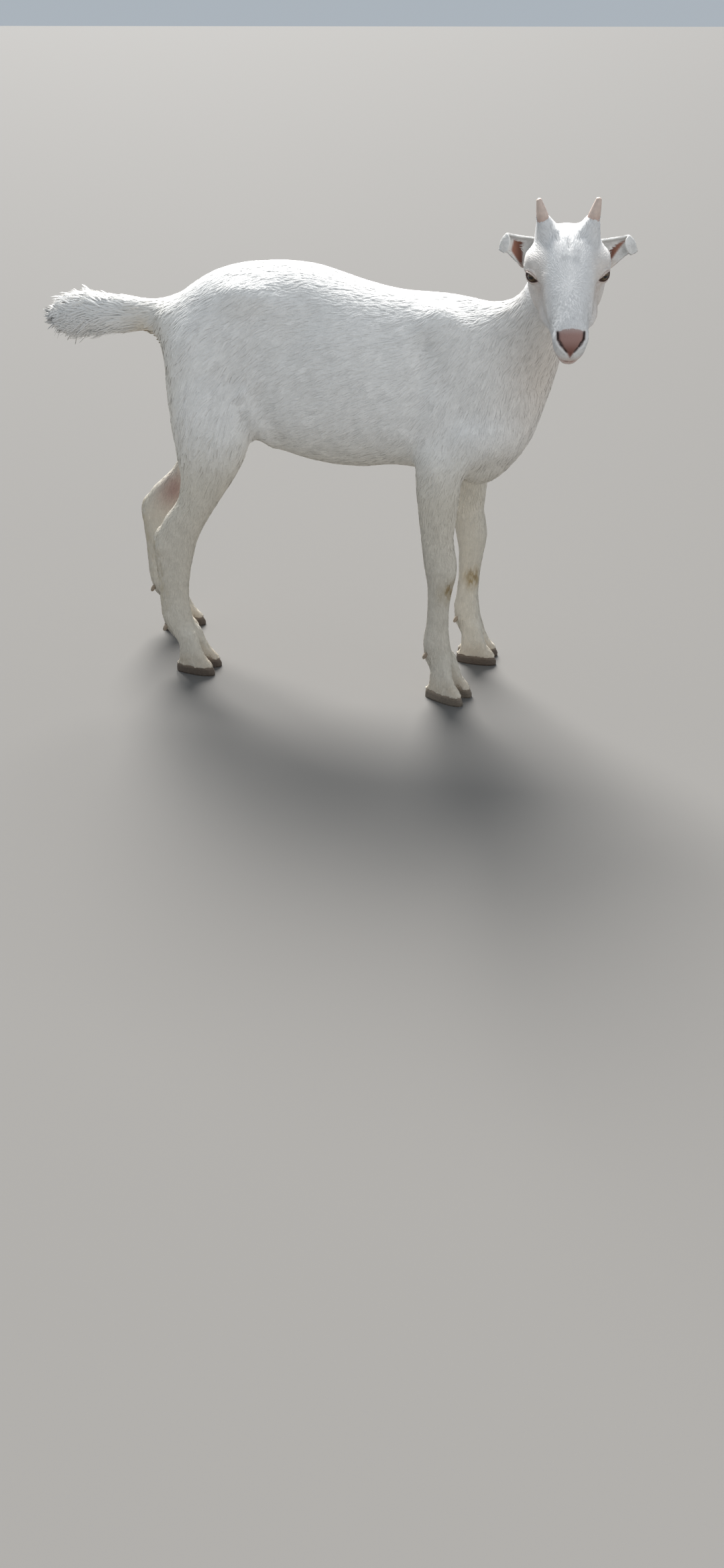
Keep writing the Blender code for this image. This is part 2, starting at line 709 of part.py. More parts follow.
def make_claw(name, end, flank, claw):
    """One claw of a cloven hoof: flat sole on the floor, top under the hair line."""
    place = claw_frame(end, flank, claw)
    turn = place.to_3x3()
    bm = bmesh.new()
    sections = []
    for x, height, width in CLAW:
        middle = place @ Vector((x, 0, 0))
        sections.append((middle, turn @ Vector((0, 0, height)), turn @ Vector((0, width, 0)), 0.12, 2.6))
    loft(bm, sections, 16)
    cut(bm, [((0, 0, -GAP / 2), (0, 0, -1)), flipped(coronet_plane(end, flank))])
    return node(name, bm, "hoof")


def make_dewclaw(name, end, flank, claw, leg):
    """A small blunt claw behind the fetlock, trimmed where it meets the leg."""
    side = 1 if flank == "left" else -1
    table = FORELEG if end == "fore" else HINDLEG
    rear = min(row[2] for row in table if 0.08 < row[0] < 0.10) + swung(end, flank, DEWCLAW_Z)
    foot = Vector((rear + 0.006, TRACK * side + 0.011 * claw * side, DEWCLAW_Z))
    tilt = Matrix.Translation(foot) @ Matrix.Rotation(math.radians(-152), 4, "Y")
    bm = bmesh.new()
    bmesh.ops.create_uvsphere(bm, u_segments=8, v_segments=5, radius=1.0)
    shape = Matrix.Diagonal((DEWCLAW_RADIUS * 0.8, DEWCLAW_RADIUS, DEWCLAW_LENGTH, 1))
    bmesh.ops.transform(bm, matrix=tilt @ shape, verts=bm.verts)
    piece = node(name, bm, "hoof")
    subtract(piece, swollen(leg, name + "_trim", FIT))
    return piece


def settle(nodes):
    """Fixes every node's shape, without scraps, and puts the middle of the goat's box over the origin."""
    shapes = {obj: evaluated(obj) for obj in nodes}
    for bm in shapes.values():
        keep_largest(bm)
    corners = [vert.co for bm in shapes.values() for vert in bm.verts]
    low = Vector([min(co[i] for co in corners) for i in range(3)])
    high = Vector([max(co[i] for co in corners) for i in range(3)])
    shift = Vector((-(low.x + high.x) / 2, -(low.y + high.y) / 2, 0))
    for obj, bm in shapes.items():
        bmesh.ops.translate(bm, vec=shift, verts=bm.verts)
        obj.modifiers.clear()
        bm.to_mesh(obj.data)
        bm.free()
    print("moved by", tuple(round(value, 5) for value in shift))


def build():
    clear_scene()
    whole = whole_body()
    body = evaluated(whole)
    ease_trunk(body)
    flesh = body_nodes(body)
    body.free()
    nodes = list(flesh.values())
    head = flesh["head"]
    for flank, side in (("left", 1), ("right", -1)):
        nodes.append(make_ear(flank, side, swollen(head, f"ear_trim_{flank}", FIT)))
    for flank, side in (("left", 1), ("right", -1)):
        nodes.append(make_eye(flank, side, head))
        nodes.append(make_horn(flank, side, head))
    for end, flank in SWING:
        leg = flesh[f"{end}leg_lower_{flank}"]
        for claw, word in ((1, "outer"), (-1, "inner")):
            nodes.append(make_claw(f"{end}_claw_{word}_{flank}", end, flank, claw))
            nodes.append(make_dewclaw(f"{end}_dewclaw_{word}_{flank}", end, flank, claw, leg))
    settle(nodes)
    for helper in [obj for obj in bpy.data.objects if obj not in nodes]:
        bpy.data.objects.remove(helper)


build()
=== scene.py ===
# %% [markdown]
# # A young white goat in its coat
#
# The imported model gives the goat's solid shape, out to the tips of its hair, parted into named
# blocks. This lesson puts the looks round it: one seamless skin a hair's depth inside that shape,
# a head with lids, nostrils and folded ears, glossy eyes with level slit pupils, ridged horns and
# claws, and a coat made of well over a hundred thousand small solid locks that lie along the body.

import math

import bmesh
import bpy
import numpy as np
from mathutils import Matrix, Vector
from mathutils.bvhtree import BVHTree
from mathutils.kdtree import KDTree


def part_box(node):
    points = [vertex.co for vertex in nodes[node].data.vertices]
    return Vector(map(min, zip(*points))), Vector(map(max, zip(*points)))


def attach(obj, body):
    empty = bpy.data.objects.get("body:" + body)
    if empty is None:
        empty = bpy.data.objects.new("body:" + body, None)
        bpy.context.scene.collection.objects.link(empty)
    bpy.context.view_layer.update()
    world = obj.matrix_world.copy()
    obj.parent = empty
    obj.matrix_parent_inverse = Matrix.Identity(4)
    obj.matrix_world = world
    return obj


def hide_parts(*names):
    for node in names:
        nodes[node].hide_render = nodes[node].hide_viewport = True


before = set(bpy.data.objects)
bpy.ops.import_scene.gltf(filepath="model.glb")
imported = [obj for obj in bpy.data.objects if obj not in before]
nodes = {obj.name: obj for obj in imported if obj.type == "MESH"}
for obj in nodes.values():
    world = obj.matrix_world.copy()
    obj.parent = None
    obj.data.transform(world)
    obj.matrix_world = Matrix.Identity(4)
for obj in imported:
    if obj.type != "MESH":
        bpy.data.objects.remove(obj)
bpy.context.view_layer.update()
print("the solids:", len(nodes), "nodes")

# %% [markdown]
# ## Two sets of measures
#
# An animal's body and its head are easiest to describe apart. The body's measures start under the
# hips, on the middle plane. The head's start between the eyes, with x along the muzzle, y to the
# goat's left and z out of the brow, so the two halves of a turned head stay mirror images. Both are
# found from the solids, so they follow if the solids move.

# %% Body and head measures
FLANK = -0.0737  # where the barrel begins, in the body's measures
BETWEEN_EYES = (0.3360, -0.105, 0.6055)  # where the head's measures start, in the body's
SIDEWAYS, NOSE_DOWN, TILTED = (math.radians(angle) for angle in (-78.4, 33.0, 4.3))
SLANT = -0.05  # one side of the face sits higher
barrel_low, barrel_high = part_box("barrel")
BODY = Vector((barrel_low.x - FLANK, (barrel_low.y + barrel_high.y) / 2, 0))
HEAD = (
    Matrix.Translation(BODY + Vector(BETWEEN_EYES))
    @ Matrix.Rotation(SIDEWAYS, 4, "Z")
    @ Matrix.Rotation(NOSE_DOWN, 4, "Y")
    @ Matrix.Rotation(TILTED, 4, "X")
    @ Matrix(((1, 0, 0, 0), (0, 1, 0, 0), (0, SLANT, 1, 0), (0, 0, 0, 1)))
)
HEAD_BACK = np.array(HEAD.inverted())
HEAD_AXES = np.array(HEAD.to_3x3())


def in_body(points):
    return points - np.array(BODY)


def in_head(points):
    return points @ HEAD_BACK[:3, :3].T + HEAD_BACK[:3, 3]


def from_head(points):
    return np.asarray(points) @ HEAD_AXES.T + np.array(HEAD.translation)


print("body starts at", tuple(round(v, 4) for v in BODY))

# %% [markdown]
# ## Asking about many points at once
#
# The skin has some eighty thousand points. A loop over them in Python is slow, so the helpers take
# them all as one array and answer with one number, or one place, for each. Soft steps and soft
# spots keep every change gradual, as it is on an animal.


# %% Helpers for arrays of points
def step(low, high, value):
    """0 below low, 1 above high, and a smooth slope between."""
    part = np.clip((value - low) / (high - low), 0, 1)
    return part * part * (3 - 2 * part)


def near(points, middle, size):
    """1 at a middle and fading to 0 round it, over half lengths given along x, y and z."""
    return np.exp(-(((points - np.array(middle)) / np.array(size)) ** 2).sum(1))


def to_line(points, start, end):
    """How far each point is from a short line."""
    start, end = np.array(start), np.array(end)
    way = end - start
    part = np.clip((points - start) @ way / (way @ way), 0, 1)
    return np.linalg.norm(points - start - part[:, None] * way, axis=1)


def mirrored(points):
    """The same points with the right half folded on the left."""
    return points * [1, 0, 1] + np.abs(points) * [0, 1, 0]


def ripples(points, length, seed):
    """Smooth values between about -1 and 1 that rise and fall over about a length."""
    draw = np.random.default_rng(seed)
    ways = draw.normal(size=(7, 3))
    ways *= draw.uniform(4.0, 9.0, (7, 1)) / length / np.linalg.norm(ways, axis=1, keepdims=True)
    return np.sin(points @ ways.T + draw.uniform(0, 6.28, 7)).sum(1) / 3.2


def unit(rows):
    """Every row scaled to a length of 1."""
    return rows / np.linalg.norm(rows, axis=1, keepdims=True)


print("half way up a soft step from 0 to 2:", step(0, 2, 1.0))

# %% [markdown]
# ## Where each kind of hair grows
#
# Every later step asks the same questions of a point on the body: how much is it head, tail or leg?
# Masks answer with a number from 0 to 1 that changes smoothly, so that nothing has a hard border:
# hair shortens down the leg, lengthens on the thigh and is longest on the tail.


# %% Masks of the body
# Each soft spot: its middle and its half lengths, for the left side of the body.
SPOTS = {
    "thigh": ((-0.165, 0.075, 0.400), (0.080, 0.06, 0.120)),
    "britch": ((-0.215, 0.050, 0.400), (0.035, 0.05, 0.100)),
    "belly": ((0.000, 0.000, 0.325), (0.130, 0.060, 0.035)),
    "ridge": ((0.190, 0.000, 0.568), (0.070, 0.020, 0.030)),
    "chest": ((0.290, 0.000, 0.390), (0.050, 0.06, 0.090)),
}


def masks(points):
    """How much of each region there is at every point."""
    body, head = in_body(points), in_head(points)
    side = mirrored(body)
    found = {name: near(side, middle, size) for name, (middle, size) in SPOTS.items()}
    found["head"] = (
        step(-0.090, -0.055, head[:, 0])
        * step(-0.090, -0.062, head[:, 2])
        * step(-0.125, -0.095, -np.abs(head[:, 1]))
        * step(0.40, 0.46, body[:, 2])
    )
    found["face"] = found["head"] * step(-0.040, 0.020, head[:, 0])
    found["muzzle"] = found["head"] * step(0.055, 0.085, head[:, 0])
    found["poll"] = near(mirrored(head), (-0.040, 0.020, 0.036), (0.022, 0.026, 0.020))
    at_tail = step(0.44, 0.47, body[:, 2])
    found["tail_base"] = step(0.205, 0.250, -body[:, 0]) * at_tail
    found["tail"] = step(0.255, 0.305, -body[:, 0]) * at_tail
    found["leg"] = 1 - step(0.20, 0.34, body[:, 2])
    found["foot"] = 1 - step(0.03, 0.10, body[:, 2])
    return found


def mixed(mask, base, **other):
    """A value for every point: the base, moved towards each named region's own value."""
    value = np.full(len(mask["head"]), float(base))
    for name, own in other.items():
        value += (own - value) * mask[name]
    return value


def coat_depth(points):
    """How far the skin lies under the tips of the coat."""
    return mixed(
        masks(points), 0.0010, thigh=0.0015, britch=0.0026, leg=0.0007, head=0.0007, face=0.0004,
        poll=0.0010, tail_base=0.0070, tail=0.0100,
    )


print("masks of", ", ".join(masks(np.zeros((1, 3)))))

# %% [markdown]
# ## Blocks as bmeshes
#
# A solid arrives as loose triangles. A merged copy in a bmesh can be swollen, cut and poured
# together with others. Modifiers need an object, so a bmesh becomes one for as long as a modifier
# takes, and comes back settled.


# %% Helpers for blocks
def copied(name, swell=0.0):
    """A merged copy of a solid's mesh, swollen all round."""
    piece = bmesh.new()
    piece.from_mesh(nodes[name].data)
    bmesh.ops.remove_doubles(piece, verts=piece.verts, dist=1e-5)
    piece.normal_update()
    for vert, normal in [(vert, vert.normal.copy()) for vert in piece.verts]:
        vert.co += normal * swell
    return piece


def poured(piece, into):
    """Adds one bmesh to another."""
    mesh = bpy.data.meshes.new("poured")
    piece.to_mesh(mesh)
    piece.free()
    into.from_mesh(mesh)
    bpy.data.meshes.remove(mesh)


def cut_off(piece, place, normal, **side):
    """Cuts a piece along a plane, throws one side away and closes the cut."""
    parts = piece.verts[:] + piece.edges[:] + piece.faces[:]
    bmesh.ops.bisect_plane(piece, geom=parts, dist=1e-6, plane_co=place, plane_no=normal, **side)
    open_edges = [edge for edge in piece.edges if edge.is_boundary]
    bmesh.ops.holes_fill(piece, edges=open_edges, sides=0)


def as_object(name, bm):
    """A new object in the scene that holds the bmesh."""
    mesh = bpy.data.meshes.new(name)
    bm.to_mesh(mesh)
    bm.free()
    obj = bpy.data.objects.new(name, mesh)
    bpy.context.scene.collection.objects.link(obj)
    return obj


def settled(obj):
    """A bmesh of the object with its modifiers applied; the object itself is thrown away."""
    bm = bmesh.new()
    bm.from_object(obj, bpy.context.evaluated_depsgraph_get())
    mesh = obj.data
    bpy.data.objects.remove(obj)
    bpy.data.meshes.remove(mesh)
    return bm


def remeshed(bm, grid):
    """One closed surface round everything in the bmesh."""
    obj = as_object("melting", bm)
    melt = obj.modifiers.new("melt", "REMESH")
    melt.mode = "VOXEL"
    melt.voxel_size = grid
    return settled(obj)


SIDES = {"left": 1, "right": -1}
FLESH = ["head", "lower_jaw", "neck", "chest", "barrel", "rump", "tail"]
FLESH += [f"foreleg_{part}_{side}" for part in ("upper", "lower") for side in SIDES]
FLESH += [f"hindleg_{part}_{side}" for part in ("thigh", "gaskin", "lower") for side in SIDES]
print("flesh:", len(FLESH), "blocks")

# %% [markdown]
# ## One skin for all the flesh
#
# A real goat has no seams where its neck meets its chest, but the solids are parted there by thin
# cuts. Each block is swollen a little so that it overlaps its neighbours, and a voxel remesh melts
# them into one closed surface. Another way is to join the blocks with Boolean unions, but those
# keep every cut's edge, while a remesh forgets it. Plugs fill the holes left for the eyes and the
# horns. A horn's plug is cut where the fur ends, on a plane that leans outward, and the upper part
# of each claw goes in as well, so that the skin reaches into the hoof.

# %% Melt the blocks into one surface
SWELL = 0.0009
HORN_SWELL, CLAW_SWELL = 0.0034, 0.0030
HORN_FOOT, HORN_BEND = (-0.0380, 0.0255, 0.0220), (-0.0440, 0.0290, 0.0425)
FUR_ENDS = 1.22  # how far up the horn, where its bend is at 1
FUR_LEAN = 0.2
CLAW_TOP = 0.0125
SKIN_GRID = 0.0042


def horn_plug(side, sign):
    """The furred foot of a horn."""
    plug = copied(f"horn_{side}", HORN_SWELL)
    flip = np.array((1, sign, 1))
    foot, bend = (Vector(from_head(np.array(point) * flip)) for point in (HORN_FOOT, HORN_BEND))
    outward = Vector(from_head([0, sign, 0])) - Vector(from_head([0, 0, 0]))
    lean = (bend - foot).normalized() - outward * FUR_LEAN
    cut_off(plug, foot.lerp(bend, FUR_ENDS), lean, clear_outer=True)
    return plug


flesh = bmesh.new()
for name in FLESH:
    poured(copied(name, SWELL), flesh)
for side, sign in SIDES.items():
    poured(copied(f"eye_{side}", SWELL), flesh)
    poured(horn_plug(side, sign), flesh)
for name in nodes:
    if "claw" in name and "dew" not in name:
        upper = copied(name, CLAW_SWELL)
        cut_off(upper, (0, 0, CLAW_TOP), (0, 0, 1), clear_inner=True)
        poured(upper, flesh)
skin = remeshed(flesh, SKIN_GRID)
print("melted skin:", len(skin.faces), "faces")

# %% [markdown]
# ## Smooth it
#
# The solids are faceted and the remesh leaves small steps. Plain smoothing would also thin the legs
# and the nose, so each round of smoothing is followed by one that pushes back almost as far. The
# trunk is broad and takes more rounds than the head and the legs.


# %% Smooth
def points_of(bm):
    return np.array([vert.co for vert in bm.verts])


def put(bm, points):
    """Moves every point of a bmesh to its new place."""
    for vert, co in zip(bm.verts, points.tolist()):
        vert.co = co


def normals_of(bm):
    bm.normal_update()
    return np.array([vert.normal for vert in bm.verts])


def smoothed(bm, rounds, share):
    """Smooths and pushes back, `rounds` times, each point by its own share."""
    bm.verts.index_update()
    points = points_of(bm)
    edges = np.array([(edge.verts[0].index, edge.verts[1].index) for edge in bm.edges])
    one, two = edges.T
    count = np.bincount(edges.ravel(), minlength=len(points))[:, None]
    for _ in range(rounds):
        for factor in (0.60, -0.62):
            total = [
                np.bincount(one, axis[two], len(axis)) + np.bincount(two, axis[one], len(axis))
                for axis in points.T
            ]
            points = points + (np.stack(total, 1) / count - points) * factor * share[:, None]
    put(bm, points)


region = masks(points_of(skin))
smoothed(skin, 30, mixed(region, 1.0, leg=0.6, foot=0.35, head=0.75, tail=0.8))
smoothed(skin, 60, mixed(region, 1.0, leg=0.0, head=0.0, tail=0.0))
print("smoothed:", len(skin.verts), "points")

# %% [markdown]
# ## Muscles and bones of the trunk
#
# Under short hair the shoulder, the hip, the fold of the flank and the thigh all show. They are
# pressed in as strokes, seen from the side: every point near a short line moves out for a swelling
# or in for a hollow. Sculpting by brush does the same; a list of strokes can be changed later.

# %% Muscles
# Each stroke: start and end as seen from the side (forward, up), half width, out (+) or in (-).
MUSCLES = (
    ((0.235, 0.535), (0.280, 0.440), 0.020, 0.0030),  # shoulder blade and upper arm
    ((0.160, 0.500), (0.150, 0.400), 0.016, -0.0035),  # groove behind the shoulder
    ((0.168, 0.368), (0.178, 0.350), 0.014, 0.0030),  # point of the elbow
    ((0.292, 0.425), (0.300, 0.405), 0.018, 0.0030),  # point of the shoulder
    ((0.245, 0.340), (0.235, 0.300), 0.010, -0.0022),  # groove of the forearm
    ((-0.055, 0.560), (-0.040, 0.548), 0.016, 0.0035),  # point of the hip
    ((0.000, 0.530), (-0.020, 0.500), 0.024, -0.0035),  # hollow before the hip
    ((-0.090, 0.430), (-0.062, 0.352), 0.009, 0.0045),  # fold of the flank
    ((-0.066, 0.430), (-0.040, 0.362), 0.011, -0.0030),  # hollow before the fold
    ((-0.120, 0.360), (-0.120, 0.335), 0.020, 0.0030),  # knee cap
    ((-0.205, 0.450), (-0.190, 0.350), 0.010, -0.0025),  # groove down the back of the thigh
    ((-0.140, 0.470), (-0.160, 0.400), 0.018, 0.0020),  # swell of the thigh
    ((0.100, 0.410), (0.080, 0.350), 0.008, -0.0012),  # between two ribs
    ((0.072, 0.410), (0.052, 0.350), 0.008, -0.0012),
    ((0.044, 0.410), (0.024, 0.350), 0.008, -0.0010),
)


FACING_OUT = 1.4  # strokes fade where the skin turns away from the side


def stroked(points, start, end, width):
    """1 on a short line, fading to 0 beside it."""
    return np.exp(-((to_line(points, start, end) / width) ** 2))


def muscles(points, normals):
    """How far every point of the trunk moves for the muscles and bones under the skin."""
    body = in_body(points)
    outward = np.clip(normals[:, 1] * np.sign(body[:, 1]) * FACING_OUT, 0, 1)
    flat = np.column_stack([body[:, 0], np.zeros(len(body)), body[:, 2]])
    total = np.zeros(len(body))
    for (x0, z0), (x1, z1), width, amount in MUSCLES:
        total += amount * stroked(flat, (x0, 0, z0), (x1, 0, z1), width)
    return total * outward * (1 - masks(points)["head"])


print("strokes on each flank:", len(MUSCLES))

# %% [markdown]
# ## Knees and hocks
#
# The joints of the legs are bones under thin skin: a knee is a flat box with a hollow under it, and
# a hock is a point of bone with a thin place on each side, before the tendon. All four legs take
# their bumps from two tables, measured from where each joint stands over the floor.

# %% Knees and hocks
# Each joint: how far along and how far to the left. Each bump: its place from there, its half
# lengths, and how far out (+) or in (-).
KNEES = ((0.2125, -0.060), (0.2355, 0.060))
KNEE_BUMPS = (
    ((0.020, 0, 0.196), (0.015, 0.015, 0.015), 0.0030),  # front of the knee
    ((0.018, 0, 0.163), (0.012, 0.012, 0.012), -0.0022),  # hollow under it
    ((-0.024, 0, 0.196), (0.010, 0.010, 0.010), 0.0022),  # bone at the back
    ((0.000, -0.020, 0.196), (0.012, 0.012, 0.012), 0.0014),  # right side
    ((0.000, -0.016, 0.150), (0.020, 0.020, 0.020), -0.0014),  # flat of the cannon
    ((-0.016, 0, 0.150), (0.010, 0.010, 0.010), -0.0016),  # before the tendon
)
HOCKS = ((-0.243, -0.068), (-0.318, 0.068))
HOCK_BUMPS = (
    ((-0.012, 0, 0.226), (0.010, 0.02, 0.010), 0.0026),  # point of the hock
    ((0.012, -0.02, 0.252), (0.006, 0.02, 0.020), -0.0040),  # thin place on the right
    ((0.012, 0.02, 0.252), (0.006, 0.02, 0.020), -0.0040),  # thin place on the left
    ((0.020, 0, 0.205), (0.010, 0.02, 0.012), 0.0022),  # front of the hock
    ((0.006, -0.02, 0.200), (0.010, 0.01, 0.010), 0.0016),  # right side
    ((0.010, -0.02, 0.160), (0.005, 0.02, 0.022), -0.0016),  # before the tendon
)


def joints(points):
    """How far every point of the legs moves for the knees, hocks and tendons."""
    body = in_body(points)
    total = np.zeros(len(body))
    for places, bumps in ((KNEES, KNEE_BUMPS), (HOCKS, HOCK_BUMPS)):
        for forward, aside in places:
            for place, size, amount in bumps:
                total += amount * near(body - [forward, aside, 0], place, size)
    return total


print("bumps on the legs:", 2 * len(KNEE_BUMPS) + 2 * len(HOCK_BUMPS))

# %% [markdown]
# ## Two toes, and the depth of the coat
#
# A groove parts the two toes of each foot. It is worked out from where each foot stands and how far
# it is turned. Then all the moves are added up, and every point sinks along its normal by the depth
# of the coat that will grow there, so that the tips of the hair come back to the solids' surface.

# %% Sink the skin
# Each foot: how far along, how far aside, and how far it is turned to the left, in degrees.
FEET = ((0.207, -0.068, -16), (0.230, 0.068, 4), (-0.191, -0.068, 0), (-0.266, 0.068, 6))


def clefts(points):
    """How far in every point of the feet moves for the groove between the two toes."""
    body = in_body(points)
    total = np.zeros(len(body))
    for forward, aside, degrees in FEET:
        turn = math.radians(degrees)
        ahead = np.array((math.cos(turn), math.sin(turn)))
        away = body[:, :2] - [forward, aside]
        beside = away @ np.array((-ahead[1], ahead[0]))
        groove = np.exp(-((beside / 0.0042) ** 2)) * (np.linalg.norm(away, axis=1) < 0.045)
        total += groove * step(0.070, 0.045, body[:, 2]) * step(-0.002, 0.012, away @ ahead)
    return total


BONY, CLEFT_DEPTH = 1.25, 0.0045
points, normals = points_of(skin), normals_of(skin)
moves = muscles(points, normals) + BONY * joints(points) - CLEFT_DEPTH * clefts(points)
moves -= coat_depth(points) + SWELL
put(skin, points + normals * moves[:, None])
print("sunk by", round(-1000 * moves.mean(), 2), "mm on average")

# %% [markdown]
# ## Finer where it matters
#
# A nostril needs points under a millimetre apart and a flank doesn't. The head's edges are divided
# once, and once more round the eyes, the nose and the mouth.

# %% Divide the head
EYE = np.array((0.0015, 0.0370, 0.0030))  # the middle of the left eye, in the head's measures
EYE_RADIUS = 0.0112


def head_zone(head):
    """The whole head with its ears left out."""
    low, high = np.array((-0.080, -0.075, -0.075)), np.array((0.130, 0.075, np.inf))
    return ((head > low) & (head < high)).all(1)


def fine_zone(head):
    """Round the eyes, the nose and the mouth."""
    eye = np.linalg.norm(mirrored(head) - EYE, axis=1) < 0.021
    nose = (head[:, 0] > 0.080) & (head[:, 2] > -0.06) & (np.abs(head[:, 1]) < 0.05)
    return (eye | nose) & (head[:, 0] < 0.13)


def divided(bm, zone):
    """Cuts every edge inside a zone of the head in two."""
    bm.verts.ensure_lookup_table()
    bm.verts.index_update()
    inside = zone(in_head(points_of(bm)))
    edges = [edge for edge in bm.edges if all(inside[vert.index] for vert in edge.verts)]
    bmesh.ops.subdivide_edges(bm, edges=edges, cuts=1, use_grid_fill=True)
    after = zone(in_head(points_of(bm))).astype(float)
    smoothed(bm, 5, after)


divided(skin, head_zone)
divided(skin, fine_zone)
print("divided:", len(skin.verts), "points")

# %% [markdown]
# ## The face
#
# The folds of a face are too fine for the blocks, so they are pressed into the skin as a sculptor
# presses clay. Each stroke is a short line through the head: every point near it moves out (a
# ridge) or in (a groove), most on the line and less beside it. Strokes are given for the left half
# and mirrored. A brush in sculpt mode does the same by hand, but a list can be changed later.


# %% Press strokes into the face
# Each stroke: start, end, half width and how far out (+) or in (-), in the head's measures.
STROKES = (
    ((0.098, 0.0175, 0.000), (0.1010, 0.0125, -0.009), 0.0022, -0.0026),  # nostril, upper part
    ((0.1010, 0.0125, -0.009), (0.1030, 0.0055, -0.016), 0.0018, -0.0014),  # nostril, lower part
    ((0.098, 0.0190, 0.006), (0.094, 0.0235, -0.002), 0.0040, 0.0010),  # rim over the nostril
    ((0.104, 0.0000, -0.019), (0.104, 0.0000, -0.033), 0.0013, -0.0013),  # groove of the upper lip
    ((0.101, 0.0000, -0.0385), (0.091, 0.0130, -0.0380), 0.0014, -0.0026),  # mouth, front
    ((0.091, 0.0130, -0.0380), (0.060, 0.0235, -0.0330), 0.0015, -0.0020),  # mouth, side
    ((0.100, 0.0080, -0.0290), (0.084, 0.0180, -0.0300), 0.0060, 0.0012),  # upper lip
    ((0.094, 0.0000, -0.0460), (0.084, 0.0080, -0.0470), 0.0060, 0.0010),  # chin
    ((0.010, 0.0395, 0.0025), (0.030, 0.0295, 0.0080), 0.0020, -0.0014),  # tear line
    ((0.020, 0.0275, 0.0165), (0.062, 0.0225, -0.0060), 0.0042, 0.0016),  # edge of the nose bridge
    ((0.026, 0.0350, -0.0010), (0.062, 0.0275, -0.0150), 0.0050, -0.0024),  # hollow of the cheek
    ((0.020, 0.0400, -0.0190), (0.056, 0.0270, -0.0210), 0.0050, 0.0022),  # cheek crest
    ((-0.006, 0.0395, -0.0180), (0.014, 0.0365, -0.0250), 0.0090, 0.0034),  # cheekbone
    ((0.006, 0.0370, -0.0500), (0.052, 0.0260, -0.0450), 0.0110, -0.0062),  # side of the lower jaw
    ((-0.014, 0.0485, 0.0105), (0.010, 0.0440, 0.0110), 0.0042, -0.0016),  # over the upper lid
    ((-0.012, 0.0510, 0.0070), (0.012, 0.0450, 0.0080), 0.0013, -0.0010),  # fold of the upper lid
    ((-0.012, 0.0500, -0.0100), (0.014, 0.0450, -0.0090), 0.0016, -0.0008),  # fold under the eye
    ((-0.026, 0.0000, 0.0390), (-0.006, 0.0000, 0.0350), 0.0016, -0.0036),  # crease of the forehead
    ((-0.034, 0.0070, 0.0390), (0.004, 0.0065, 0.0340), 0.0050, 0.0018),  # swelling beside it
    ((-0.030, 0.0220, 0.0330), (-0.016, 0.0120, 0.0370), 0.0030, -0.0012),  # hollow before the horn
    ((-0.022, 0.0290, 0.0230), (-0.030, 0.0140, 0.0360), 0.0036, 0.0010),  # round the horn's foot
)
points, normals = points_of(skin), normals_of(skin)
face = mirrored(in_head(points))
push = sum(amount * stroked(face, start, end, width) for start, end, width, amount in STROKES)
put(skin, points + normals * (push * masks(points)["head"])[:, None])
print("strokes pressed:", len(STROKES) * 2)

# %% [markdown]
# ## Lids round the eyes
#
# A goat's lids are an almond, longer than it is high, drawn a little down towards the nose. Points
# inside the almond are pulled behind the eyeball, points on its edge are laid on the ball, and
# points outside stand a lid's thickness off it. Then a rounded rim is added along the edge.

# %% Open the lids
GAZE = np.array((0.72, 0.67, 0.20)) / np.linalg.norm((0.72, 0.67, 0.20))
LID_TURN = math.radians(9)  # the corner by the nose hangs lower
LID_LONG, LID_HIGH = 0.0081, 0.0043  # half the length and half the height of the opening
LID_PINCH = 0.28  # how much lower the almond is at its corners
LID_GAP = 0.0003  # between the lid's edge and the ball
along = np.array((1, 0, 0)) - GAZE * GAZE[0]
along /= np.linalg.norm(along)
upward = np.cross(GAZE, along)
upward *= np.sign(upward[2])
LID_ALONG = along * math.cos(LID_TURN) + upward * math.sin(LID_TURN)
LID_UP = -along * math.sin(LID_TURN) + upward * math.cos(LID_TURN)


def almond(side):
    """1 on the edge of the lids and less inside, for points of the head folded on the left."""
    away = side - EYE
    long, high = away @ LID_ALONG / LID_LONG, away @ LID_UP / LID_HIGH
    pinch = 1 - LID_PINCH * np.clip(np.abs(long), 0, 1.6) ** 2
    return np.sqrt(long**2 + (high / np.clip(pinch, 0.25, 1)) ** 2), away @ GAZE > 0


head = in_head(points_of(skin))
side = mirrored(head)
across, outer = almond(side)
away = side - EYE
reach = np.linalg.norm(away, axis=1)
behind, beyond = EYE_RADIUS * 0.80, EYE_RADIUS + LID_GAP + 0.0012 * step(1.0, 1.5, across)
seat = np.where(across < 1, behind, beyond)
seat = np.where(np.abs(across - 1) < 0.10, EYE_RADIUS + LID_GAP, seat)
hold = (1 - step(1.45, 2.3, across)) * (outer & (reach < 0.022))
moved = EYE + away / reach[:, None] * (reach + (seat - reach) * hold)[:, None]
moved[:, 1] *= np.where(head[:, 1] < 0, -1, 1)
put(skin, np.where((hold > 0)[:, None], from_head(moved), points_of(skin)))
print("points moved for the lids:", int((hold > 0).sum()))


# %% [markdown]
# ## The rims of the lids
#
# A lid's edge is round, dark and moist. It is a closed ring laid along the almond, thicker above
# than below. The ring starts as a flat grid of cells whose points a small function puts in place.
# The same helper makes the ears and the horns later on.

# %% Lid rims
def patch(long_cells, wide_cells, place):
    """A grid of cells whose points are set by place(u, v), with u and v from 0 to 1."""
    bm = bmesh.new()
    bmesh.ops.create_grid(bm, x_segments=long_cells, y_segments=wide_cells, size=0.5)
    flat = points_of(bm)
    put(bm, np.array(place(flat[:, 0] + 0.5, flat[:, 1] + 0.5)).T)
    bmesh.ops.remove_doubles(bm, verts=bm.verts, dist=2e-5)
    bmesh.ops.recalc_face_normals(bm, faces=bm.faces)
    return bm


